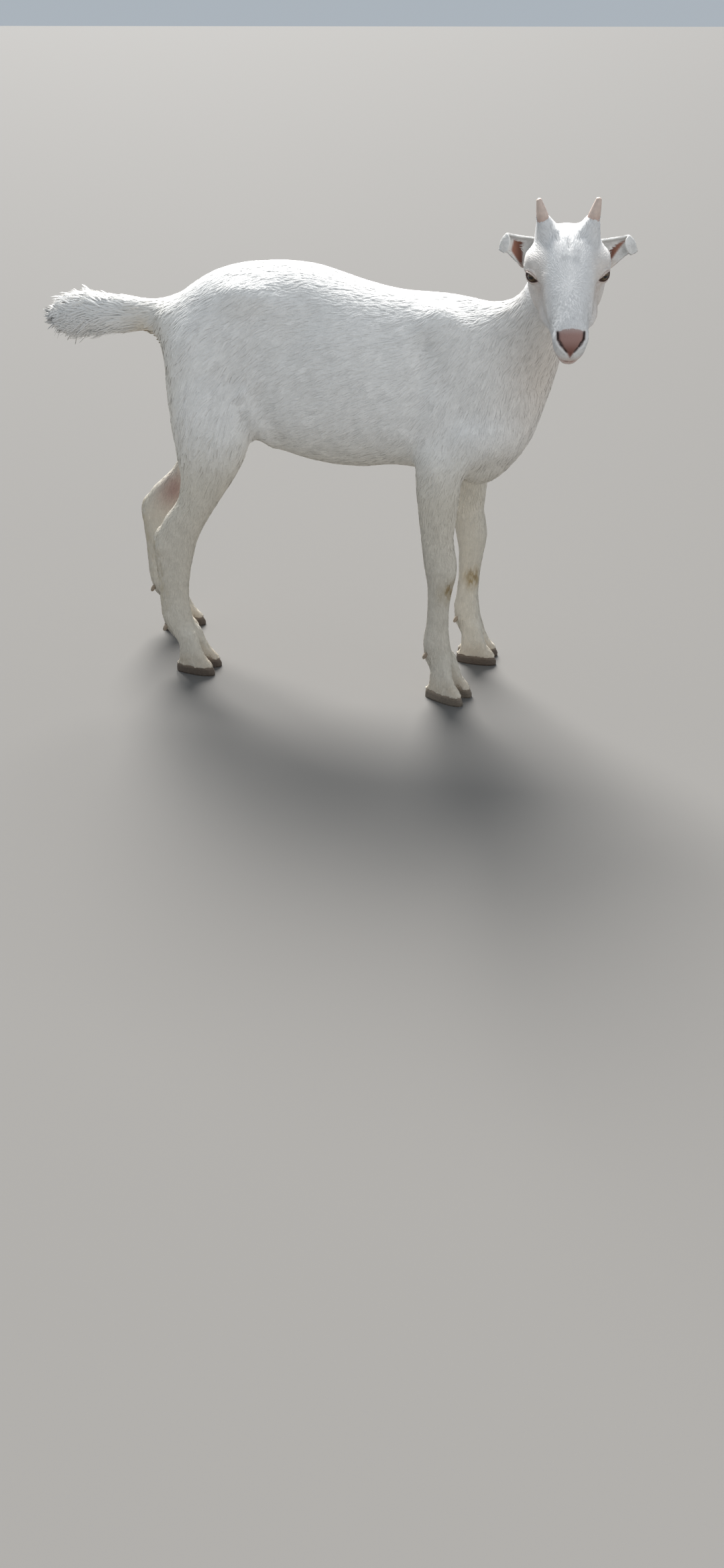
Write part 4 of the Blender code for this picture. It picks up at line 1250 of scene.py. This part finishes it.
for name in (name for name in nodes if "claw" in name):
    small = "dewclaw" in name
    bm = dewclaw_of(name) if small else claw_of(name)
    points = points_of(bm)
    claw = finished("ringed_" + name, bm, [name], claw_material)
    top = np.full(len(points), 0.25) if small else step(0.008, 0.020, points[:, 2])
    worn = "fore_claw" in name and in_body(points)[0, 1] < 0
    low = DEWCLAW if small else WORN_HORN if worn else LOW_HORN
    tinted(claw.data, np.array(low) + np.outer(top, TOP_PALER))
print("hooves set")

# %% [markdown]
# ## The lie of the coat
#
# Hair doesn't stand straight out of the skin. It leans back along the trunk, down the shoulder and
# the thigh, down the legs and along the tail, and on the face it spreads from a whorl on the nose
# bridge. A few directions are set down like arrows on a sketch. At any point the nearest arrows
# count most, and the mixed direction is laid flat on the skin.

# %% Directions
# Each arrow: where it stands, how far it counts, and its direction: back-to-front, outward, upward.
ARROWS = (
    ((0.1, 0.08, 0.5), 0.09, (-1, 0, -0.3)), ((0.05, 0.09, 0.39), 0.08, (-0.85, 0, -0.6)),
    ((0.05, 0.02, 0.58), 0.07, (-1, 0.12, -0.05)), ((-0.15, 0.02, 0.59), 0.07, (-1, 0.25, -0.1)),
    ((-0.13, 0.08, 0.5), 0.07, (-0.8, 0.05, -0.6)), ((-0.16, 0.08, 0.42), 0.07, (-0.5, 0, -0.9)),
    ((-0.16, 0.08, 0.34), 0.06, (-0.25, 0, -1)), ((-0.22, 0.04, 0.42), 0.05, (-0.25, -0.15, -1)),
    ((-0.17, 0.07, 0.27), 0.06, (-0.4, 0, -0.95)), ((-0.21, 0.07, 0.12), 0.08, (-0.03, 0, -1)),
    ((0.2, 0.07, 0.5), 0.06, (-0.6, 0, -0.8)), ((0.21, 0.07, 0.4), 0.06, (-0.35, 0, -1)),
    ((0.16, 0.07, 0.36), 0.04, (-0.65, 0, -0.8)), ((0.19, 0.07, 0.2), 0.12, (-0.08, 0, -1)),
    ((0.29, 0.02, 0.42), 0.06, (0, 0.15, -1)), ((0.3, 0.05, 0.52), 0.06, (-0.45, 0, -0.9)),
    ((0.26, 0, 0.59), 0.05, (-1, 0.15, -0.4)), ((0.33, 0.03, 0.57), 0.05, (-0.5, 0, -0.9)),
    ((0, 0.02, 0.31), 0.08, (-1, 0.05, 0)), ((-0.24, 0, 0.52), 0.03, (-1, 0, 0.1)),
    ((-0.34, 0, 0.51), 0.06, (-1, 0, -0.08)),
)
WHORL = np.array((0.041, 0, 0.028))
EAR_TIP_LIE = np.array((0.5, 0, -0.8))


def lie(points, normals, seed=11):
    """The direction in which the hair lies at every point, flat on the skin."""
    body, head, mask = in_body(points), in_head(points), masks(points)
    side = mirrored(body)
    flip = np.where(body < 0, -1.0, 1.0) * [0, 1, 0] + [1, 0, 1]
    way = np.zeros_like(points)
    for middle, size, arrow in ARROWS:  # every arrow counts a little, so no point is left without
        way += (near(side, middle, size)[:, None] + 1e-9) * (np.array(arrow) * flip)
    spread = unit((head - WHORL) * [1, 1.25, 1] + [-0.004, 0, 0])
    aside = np.abs(head[:, 1])
    on_ear = step(0.050, 0.060, aside)[:, None] * mask["head"][:, None]
    drop = step(0.070, 0.078, aside)[:, None]
    ear_way = np.sign(head) * [0, 1, 0] * (1 - drop) + EAR_TIP_LIE * drop
    spread = spread * (1 - on_ear) + ear_way * on_ear
    share = mask["head"][:, None]
    way = unit(way) * (1 - share) + (spread @ HEAD_AXES.T) * share
    way -= normals * (way * normals).sum(1)[:, None]
    way /= np.linalg.norm(way, axis=1, keepdims=True) + 1e-9
    bend = mixed(
        mask, 0.24, thigh=0.45, britch=0.40, leg=0.10, head=0.20, face=0.30, poll=0.80, tail=0.22
    )
    bend = bend * (0.75 * ripples(points, 0.030, seed) + 0.45 * ripples(points, 0.011, seed + 1))
    return way * np.cos(bend)[:, None] + np.cross(normals, way) * np.sin(bend)[:, None]


print("arrows:", len(ARROWS))

# %% [markdown]
# ## Roots
#
# The coat is made of small closed locks with three sides, each standing for a dozen hairs. All the
# locks are worked out together as arrays of numbers. Hair particles would look finer, but they
# aren't solid and no other program reads them. The roots come first: each triangle of the skin
# draws a number of them by its area and by how crowded its region is, and none where it is bare.

# %% Roots
EAR_CROWD, EAR_HIDDEN = 50e4, 0.038  # roots per square metre; the buried part of the ear
THINNED = 0.91  # the share of the roots that is kept
draw = np.random.default_rng(7)
corners = skin_points[skin_faces]
edges = corners[:, 1] - corners[:, 0], corners[:, 2] - corners[:, 0]
area = np.linalg.norm(np.cross(*edges), axis=1) / 2
middle = corners.mean(1)
face_ear = EAR_FLAG[skin_faces[:, 0]]
face_bare = skin_bare[skin_faces].max(1)
crowd = mixed(
    masks(middle), 16e4, thigh=17e4, leg=30e4, head=38e4, face=52e4, muzzle=70e4, tail_base=28e4,
    tail=60e4, poll=40e4,
)
crowd = np.where(face_ear > 0, EAR_CROWD, crowd) * (face_bare < 0.5)
hidden = (face_ear > 0) & (np.abs(in_head(middle)[:, 1]) < EAR_HIDDEN)
crowd = np.where(hidden, 0, crowd) * THINNED
wanted = draw.poisson(area * crowd)
pick = np.repeat(np.arange(len(area)), wanted)
mix = draw.dirichlet((1, 1, 1), len(pick))
roots = (corners[pick] * mix[:, :, None]).sum(1)
root_normals = unit((skin_normals[skin_faces[pick]] * mix[:, :, None]).sum(1))
root_ear = face_ear[pick]
print("roots:", len(roots), "on", round(area.sum(), 3), "square metres")


# %% [markdown]
# ## How long, how wide, how high
#
# Hair is short on the face and the feet, longer on the thigh and the ridge of the back, and longest
# on the tail. It shortens round the foot of a horn and grows into a tuft over each dewclaw. The
# rise is how far a lock's middle stands off the skin: most lie low and a few stand up.

# %% Lengths and widths
region = masks(roots)
length = mixed(
    region, 0.0190, thigh=0.0270, britch=0.0260, belly=0.0200, chest=0.0180, ridge=0.0240,
    leg=0.0090, foot=0.0075, head=0.0075, face=0.0052, muzzle=0.0021, poll=0.0120,
    tail_base=0.0300, tail=0.0420,
)
on_ear = root_ear > 0
collar = near(mirrored(in_head(roots)), HORN_LINE[2][:3], (0.013, 0.013, 0.013))
length = np.where(on_ear, 0.0060, length * (1 - 0.60 * collar))
length = length * draw.uniform(0.75, 1.20, len(roots))
width = mixed(
    region, 0.0023, thigh=0.0024, leg=0.0014, head=0.0012, face=0.0009, muzzle=0.0007,
    tail=0.0018, poll=0.0016,
)
width = np.where(on_ear, 0.0008, width) * draw.uniform(0.7, 1.25, len(roots))
rise = coat_depth(roots) * (0.42 + 0.58 * draw.uniform(0, 1, len(roots)) ** 3)
rise = np.where(on_ear, 0.0007, rise)
TUFT_SIZE, TUFT_LONG, TUFT_HIGH = 0.0125, 0.0130, 0.0045  # over a dewclaw
for name in nodes:
    if "dewclaw" in name:
        low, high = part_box(name)
        tuft = near(roots, (low + high) / 2, TUFT_SIZE)
        length += (TUFT_LONG - length) * tuft
        rise += (TUFT_HIGH - rise) * tuft * draw.uniform(0.2, 1, len(roots))
print("hair from", round(1000 * length.min(), 1), "to", round(1000 * length.max(), 1), "mm")

# %% [markdown]
# ## Paths of the locks
#
# Each lock has a root just under the skin, a middle and a tip. Both are found by walking from the
# root along the lie of the coat and dropping back on the skin, so a lock hugs the body over every
# bump. The tip is tucked a little lower than the middle, as combed hair is. On the tail most of the
# path is free instead: there the hair springs out of the skin and hangs.

# %% Paths
HALF_WAY, REST = 0.45, 0.55  # of a lock's length: root to middle, middle to tip
LOOSE_TAIL = 0.75  # how much of a path is free on the tail


def on_skin(points):
    """The nearest points of the skin and its normals there."""
    found = [skin_tree.find_nearest(Vector(point)) for point in points.tolist()]
    return np.array([hit[0] for hit in found]), np.array([hit[1] for hit in found])


loose = (region["tail_base"] * LOOSE_TAIL)[:, None]
tuck = mixed(
    region, 0.70, thigh=0.75, britch=0.85, leg=0.70, head=0.65, face=0.60, poll=0.65, tail=1.0
)
stray = mixed(region, 0.12, thigh=0.20, tail=0.30, head=0.09, face=0.07, leg=0.08)
way_0 = lie(roots, root_normals)
turn = draw.normal(0, 1, len(roots)) * stray
turn = turn * (1 + 3.0 * near(in_head(roots), WHORL, (0.012, 0.012, 0.012)))
way_0 = way_0 * np.cos(turn)[:, None] + np.cross(root_normals, way_0) * np.sin(turn)[:, None]
first, second = (length * HALF_WAY)[:, None], (length * REST)[:, None]
spot_1, normal_1 = on_skin(roots + way_0 * first)
way_1 = lie(spot_1, normal_1) * 0.6 + way_0 * 0.4
spot_2, normal_2 = on_skin(spot_1 + way_1 * second)
free_1 = roots + (way_0 + root_normals * 0.42) * first
free_2 = free_1 + (way_0 + root_normals * 0.16 + np.array((0, 0, -0.06))) * second
path_0 = roots - root_normals * 0.0005
path_1 = (spot_1 + normal_1 * (rise * 0.85)[:, None]) * (1 - loose) + free_1 * loose
path_2 = (spot_2 + normal_2 * (rise * tuck)[:, None]) * (1 - loose) + free_2 * loose
print("paths laid")

# %% [markdown]
# ## Clumps
#
# Hair gathers: neighbouring tips lean together and leave slight partings between. Every lock finds
# the nearest of a thinned set of leaders, and its tip moves part of the way to the leader's tip.
# Locks that share a leader also share a slightly lighter or darker shade.

# %% Gather the tips
leaders = draw.choice(len(roots), len(roots) // 9, replace=False)
finder = KDTree(len(leaders))
for i, leader in enumerate(leaders.tolist()):
    finder.insert(roots[leader], i)
finder.balance()
nearest = leaders[[finder.find(root)[1] for root in roots.tolist()]]
gather = mixed(
    region, 0.30, thigh=0.42, britch=0.5, leg=0.25, head=0.25, face=0.18, muzzle=0.1, tail=0.45,
    poll=0.6,
)
gather = np.where(on_ear, 0.1, gather) * draw.uniform(0.6, 1.2, len(roots))
apart = roots - roots[nearest]
aim = path_2[nearest] + apart * 0.30
path_2 = path_2 + (aim - path_2) * gather[:, None]
aim = path_1[nearest] + apart * 0.75
path_1 = path_1 + (aim - path_1) * (gather * 0.5)[:, None]
path_2[:, 2] = np.maximum(path_2[:, 2], 0.004)
shade = draw.normal(0, 0.016, len(roots)) + draw.normal(0, 0.032, len(roots))[nearest]
lock_colour, _ = markings(roots, root_normals, root_ear)
print("gathered round", len(leaders), "leaders")

# %% [markdown]
# ## The shape of one lock
#
# A lock is a root ring of three points, one or two more rings and a tip, closed all over: ten faces
# for a short lock and sixteen for a long one. Its corners carry a direction that leans with the
# hair, so light runs smoothly from lock to lock and not round each one. Each lock also owns a small
# patch of a flat map at its root's place, found by unrolling its region round its long axis, so
# that neighbouring hair stays neighbours on the map.

# %% Shape of a lock
LOCK_THICK = 0.11  # of its width
LONG_HAIR = 0.022  # over this mean length a lock has a third ring
MAP_PATCH = 0.003
LEAN, ROUNDING = 0.12, 0.20  # of a corner's direction: with the hair, and to its side


def unrolled(points, axis):
    """Places on a flat map: round an axis and along it."""
    axis = np.array(axis, float) / np.linalg.norm(axis)
    one = np.cross(axis, (0.123, 0.987, 0.1))
    one /= np.linalg.norm(one)
    two = np.cross(axis, one)
    away = points - points.mean(0)
    along = away @ axis
    round_ = np.arctan2(away @ two, away @ one) / (2 * math.pi) + 0.5
    along = (along - along.min()) / max(np.ptp(along), 1e-6)
    return 0.01 + 0.97 * np.column_stack([round_, along])


def beside(way, normal):
    """The direction across a lock."""
    aside = np.cross(way, normal)
    return aside / (np.linalg.norm(aside, axis=1, keepdims=True) + 1e-12)


def ring_points(path, way, normal, width):
    """Three points round each place of a path: left, right and top."""
    half = beside(way, normal) * width[:, None] / 2
    return [path - half, path + half, path + normal * width[:, None] * LOCK_THICK]


def lock_points(chosen):
    """Every point of the chosen locks, and how far up a lock each ring is."""
    p0, p1, p2 = path_0[chosen], path_1[chosen], path_2[chosen]
    n0, n1, wide = root_normals[chosen], normal_1[chosen], width[chosen]
    rings = ring_points(p0, p1 - p0, n0, wide * 0.75) + ring_points(p1, p2 - p0, n1, wide)
    ups = [0.0, 0.5]
    if length[chosen].mean() > LONG_HAIR:
        bow = p1 * 0.42 + p2 * 0.70 - p0 * 0.12
        rings += ring_points(bow, p2 - p1, n1, wide * 0.72)
        ups.append(0.75)
    return np.stack(rings + [p2], 1), ups


def lock_faces(ups):
    """The faces of one lock and, for each corner, its place on the lock's own patch."""
    faces, spots = [(0, 1, 2)], [((0, -0.2), (1, -0.2), (0.5, 0))]
    last, tip = 3 * len(ups) - 3, 3 * len(ups)
    for low, va, vb in zip(range(0, last, 3), ups, ups[1:]):
        for k in range(3):
            high, across, left, right = low + 3, (k + 1) % 3, k / 3, (k + 1) / 3
            faces += [(low + k, high + k, high + across), (low + k, high + across, low + across)]
            spots += [((left, va), (left, vb), (right, vb)), ((left, va), (right, vb), (right, va))]
    for k in range(3):
        faces.append((last + k, tip, last + (k + 1) % 3))
        spots.append(((k / 3, ups[-1]), ((k + 0.5) / 3, 1), ((k + 1) / 3, ups[-1])))
    return np.array(faces), np.array(spots)


def lock_directions(chosen, faces, tip):
    """The direction of every corner: out of the skin, leaning with the hair, undersides turned."""
    p0, p1, p2 = path_0[chosen], path_1[chosen], path_2[chosen]
    n0, n1 = root_normals[chosen], normal_1[chosen]
    lean = unit(p2 - p0) * LEAN
    ring_normal = np.stack([n0 + lean] * 3 + [n1 + lean] * (tip - 2), 1)
    corner = ring_normal[:, faces]  # lock, face, corner, axis
    aside = beside(p1 - p0, n0)
    for row, ids in enumerate(faces.tolist()):
        kinds = {i % 3 for i in ids if i != tip}
        if kinds <= {0, 1}:
            corner[:, row] *= -1
        elif len(kinds) == 2:
            corner[:, row] += (aside * (ROUNDING if 1 in kinds else -ROUNDING))[:, None]
    return corner / np.linalg.norm(corner, axis=3, keepdims=True)


print("faces of a short and a long lock:", [len(lock_faces(ups)[0]) for ups in ([0, 1], [0, 1, 2])])

# %% [markdown]
# ## From arrays to a mesh
#
# An operator for every lock would take far too long, so a region's locks go into one mesh at once:
# points, corners, faces, map and colours are each written as one long array. A lock's colour is the
# one painted at its root, with painted shade at the foot, where other locks cover it, and lighter
# at the tip.

# %% Mesh of many locks
coat_material, tree, shader = material_of("hair", 0.62, 0.25)
colour = uneven(tree, attribute(tree, "tint")["Color"], 420, 0.95, 1.03)
tree.links.new(colour, shader.inputs["Base Color"])


def lock_mesh(name, chosen, axis):
    """One piece of the coat, made of all the chosen locks; returns its number of faces."""
    points, ups = lock_points(chosen)
    faces, spots = lock_faces(ups)
    total, each = points.shape[:2]
    index = (np.arange(total)[:, None, None] * each + faces).reshape(-1)
    mesh = bpy.data.meshes.new(name)
    mesh.vertices.add(total * each)
    mesh.vertices.foreach_set("co", points.astype(np.float32).ravel())
    mesh.loops.add(len(index))
    mesh.loops.foreach_set("vertex_index", index.astype(np.int32))
    mesh.polygons.add(len(index) // 3)
    mesh.polygons.foreach_set("loop_start", np.arange(0, len(index), 3, dtype=np.int32))
    flat = unrolled(roots[chosen], axis)[:, None, None, :] + spots[None] * MAP_PATCH
    bake_map = mesh.uv_layers.new(name="OFBake")
    bake_map.data.foreach_set("uv", flat.astype(np.float32).ravel())
    # Painted shade: each lock darker at its foot, where the locks over it cover it, and lighter at
    # its tip.
    lighter = 0.95 + 0.06 * np.append(np.repeat(ups, 3), 1.0)
    tone_and_root_shade = lighter[None, :, None] + shade[chosen][:, None, None]
    tinted(mesh, (lock_colour[chosen][:, None, :] * tone_and_root_shade).reshape(-1, 3))
    mesh.update(calc_edges=True)
    mesh.shade_smooth()
    mesh.normals_split_custom_set(lock_directions(chosen, faces, each - 1).reshape(-1, 3))
    mesh.materials.append(coat_material)
    obj = bpy.data.objects.new(name, mesh)
    bpy.context.scene.collection.objects.link(obj)
    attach(obj, "root")
    return len(mesh.polygons)


print("material of the coat:", coat_material.name)

# %% [markdown]
# ## Regions of the coat
#
# One mesh of a million faces is slow to handle, so the locks are sorted into regions, and a large
# region into several pieces from tail to head. Every lock goes into exactly one of them.

# %% Build the coat
root_body, root_head = in_body(roots), in_head(roots)
is_head = ~on_ear & (region["head"] > 0.5)
is_tail = region["tail"] > 0.5
is_leg = ~is_head & (root_body[:, 2] < 0.30)
is_neck = ~is_head & ~is_leg & (root_body[:, 0] > 0.245)
is_thigh = ~is_leg & ~is_tail & (root_body[:, 0] < -0.085)
is_trunk = ~(on_ear | is_head | is_tail | is_leg | is_neck | is_thigh)
in_front = root_body[:, 0] > 0
head_left, body_left = root_head[:, 1] > 0, root_body[:, 1] > 0
GROUPS = {
    "head_left": (is_head & head_left, (1, 0, 0)),
    "head_right": (is_head & ~head_left, (1, 0, 0)),
    "ear_left": (on_ear & head_left, (0, 1, 0)),
    "ear_right": (on_ear & ~head_left, (0, 1, 0)),
    "neck": (is_neck, (0.3, 0, 1)),
    "tail": (is_tail & ~is_head, (1, 0, 0)),
}
for flank, on_flank in (("left", body_left), ("right", ~body_left)):
    GROUPS[f"trunk_{flank}"] = (is_trunk & on_flank, (1, 0, 0))
    GROUPS[f"thigh_{flank}"] = (is_thigh & on_flank & ~is_head & ~on_ear, (0.3, 0, 1))
    GROUPS[f"foreleg_{flank}"] = (is_leg & on_flank & in_front, (0, 0, 1))
    GROUPS[f"hindleg_{flank}"] = (is_leg & on_flank & ~in_front, (0.2, 0, 1))
MOST_LOCKS = 18500  # in one piece; a long lock counts as 1.6
made, taken = 0, np.zeros(len(roots), bool)
for group, (chosen, axis) in GROUPS.items():
    chosen = np.flatnonzero(chosen & ~taken)
    taken[chosen] = True
    chosen = chosen[np.argsort(root_body[chosen, 0], kind="stable")]
    weight = 1.6 if length[chosen].mean() > LONG_HAIR else 1
    shares = max(1, math.ceil(len(chosen) * weight / MOST_LOCKS))
    for number, share in enumerate(np.array_split(chosen, shares)):
        ending = f"_{number + 1}" if shares > 1 else ""
        made += lock_mesh(f"coat_{group}{ending}", share, axis)
print("coat:", made, "triangles;", int((~taken).sum()), "locks left out")

# %% [markdown]
# ## Floor, light and camera
#
# The model stands alone on a plain pale floor. A sun lamp with a very wide disk stands high behind
# the goat: it makes the back bright, leaves the near side in gentle shade and keeps the shadow on
# the floor soft. A weak warm disk in front and a sky-coloured world fill the rest.

# %% Floor and room
FLOOR_HALF, FLOOR_GREY = 200, (0.160, 0.156, 0.150)
SKY, SKY_STRENGTH = (0.80, 0.89, 0.98), 0.51
scene = bpy.context.scene
floor_bm = bmesh.new()
bmesh.ops.create_grid(floor_bm, x_segments=1, y_segments=1, size=FLOOR_HALF)
floor = as_object("floor", floor_bm)
floor_material, tree, shader = material_of("plain floor", 0.9, 0.2)
shader.inputs["Base Color"].default_value = (*FLOOR_GREY, 1)
floor.data.materials.append(floor_material)

world = bpy.data.worlds.new("room")
world.use_nodes = True
background = world.node_tree.nodes["Background"]
background.inputs["Color"].default_value = (*SKY, 1)
background.inputs["Strength"].default_value = SKY_STRENGTH
scene.world = world
print("floor and room ready")

# %% [markdown]
# ## Lamps and camera
#
# A lamp shines down its own minus Z, so it is turned by the line from its place to what it lights.
# The camera stands under two metres away, higher than the goat's back, and looks down on it by
# about a third of a right angle through a wide lens.


# %% Lamps and camera
def lamp(name, kind, place, aim, power, colour):
    """A lamp at a place, turned towards what it lights."""
    light = bpy.data.lights.new(name, kind)
    light.energy = power
    light.color = colour
    obj = bpy.data.objects.new(name, light)
    obj.location = place
    obj.rotation_euler = (Vector(aim) - Vector(place)).to_track_quat("-Z", "Y").to_euler()
    scene.collection.objects.link(obj)
    return light


key = lamp("key", "SUN", (-2.8, 6.3, 7.4), (0, 0, 0.35), 9.4, (1.0, 0.98, 0.95))
key.angle = math.radians(32)
front = lamp("front", "AREA", (2.6, -3.0, 2.2), (0.2, 0, 0.45), 30, (1.0, 0.95, 0.90))
front.shape = "DISK"
front.size = 3.6

CAMERA_PLACE, CAMERA_LOOKS = (0.44937, -1.62240, 0.860), (-0.19578, 0.81550, -0.54464)
camera = bpy.data.cameras.new("camera")
camera.sensor_fit = "VERTICAL"
camera.sensor_height = 36
camera.lens = 27.03
camera.dof.use_dof = False
camera_object = bpy.data.objects.new("camera", camera)
camera_object.location = BODY + Vector(CAMERA_PLACE)
camera_object.rotation_euler = Vector(CAMERA_LOOKS).to_track_quat("-Z", "Y").to_euler()
scene.collection.objects.link(camera_object)
scene.camera = camera_object
scene.view_settings.view_transform = "Standard"
print("stage set")
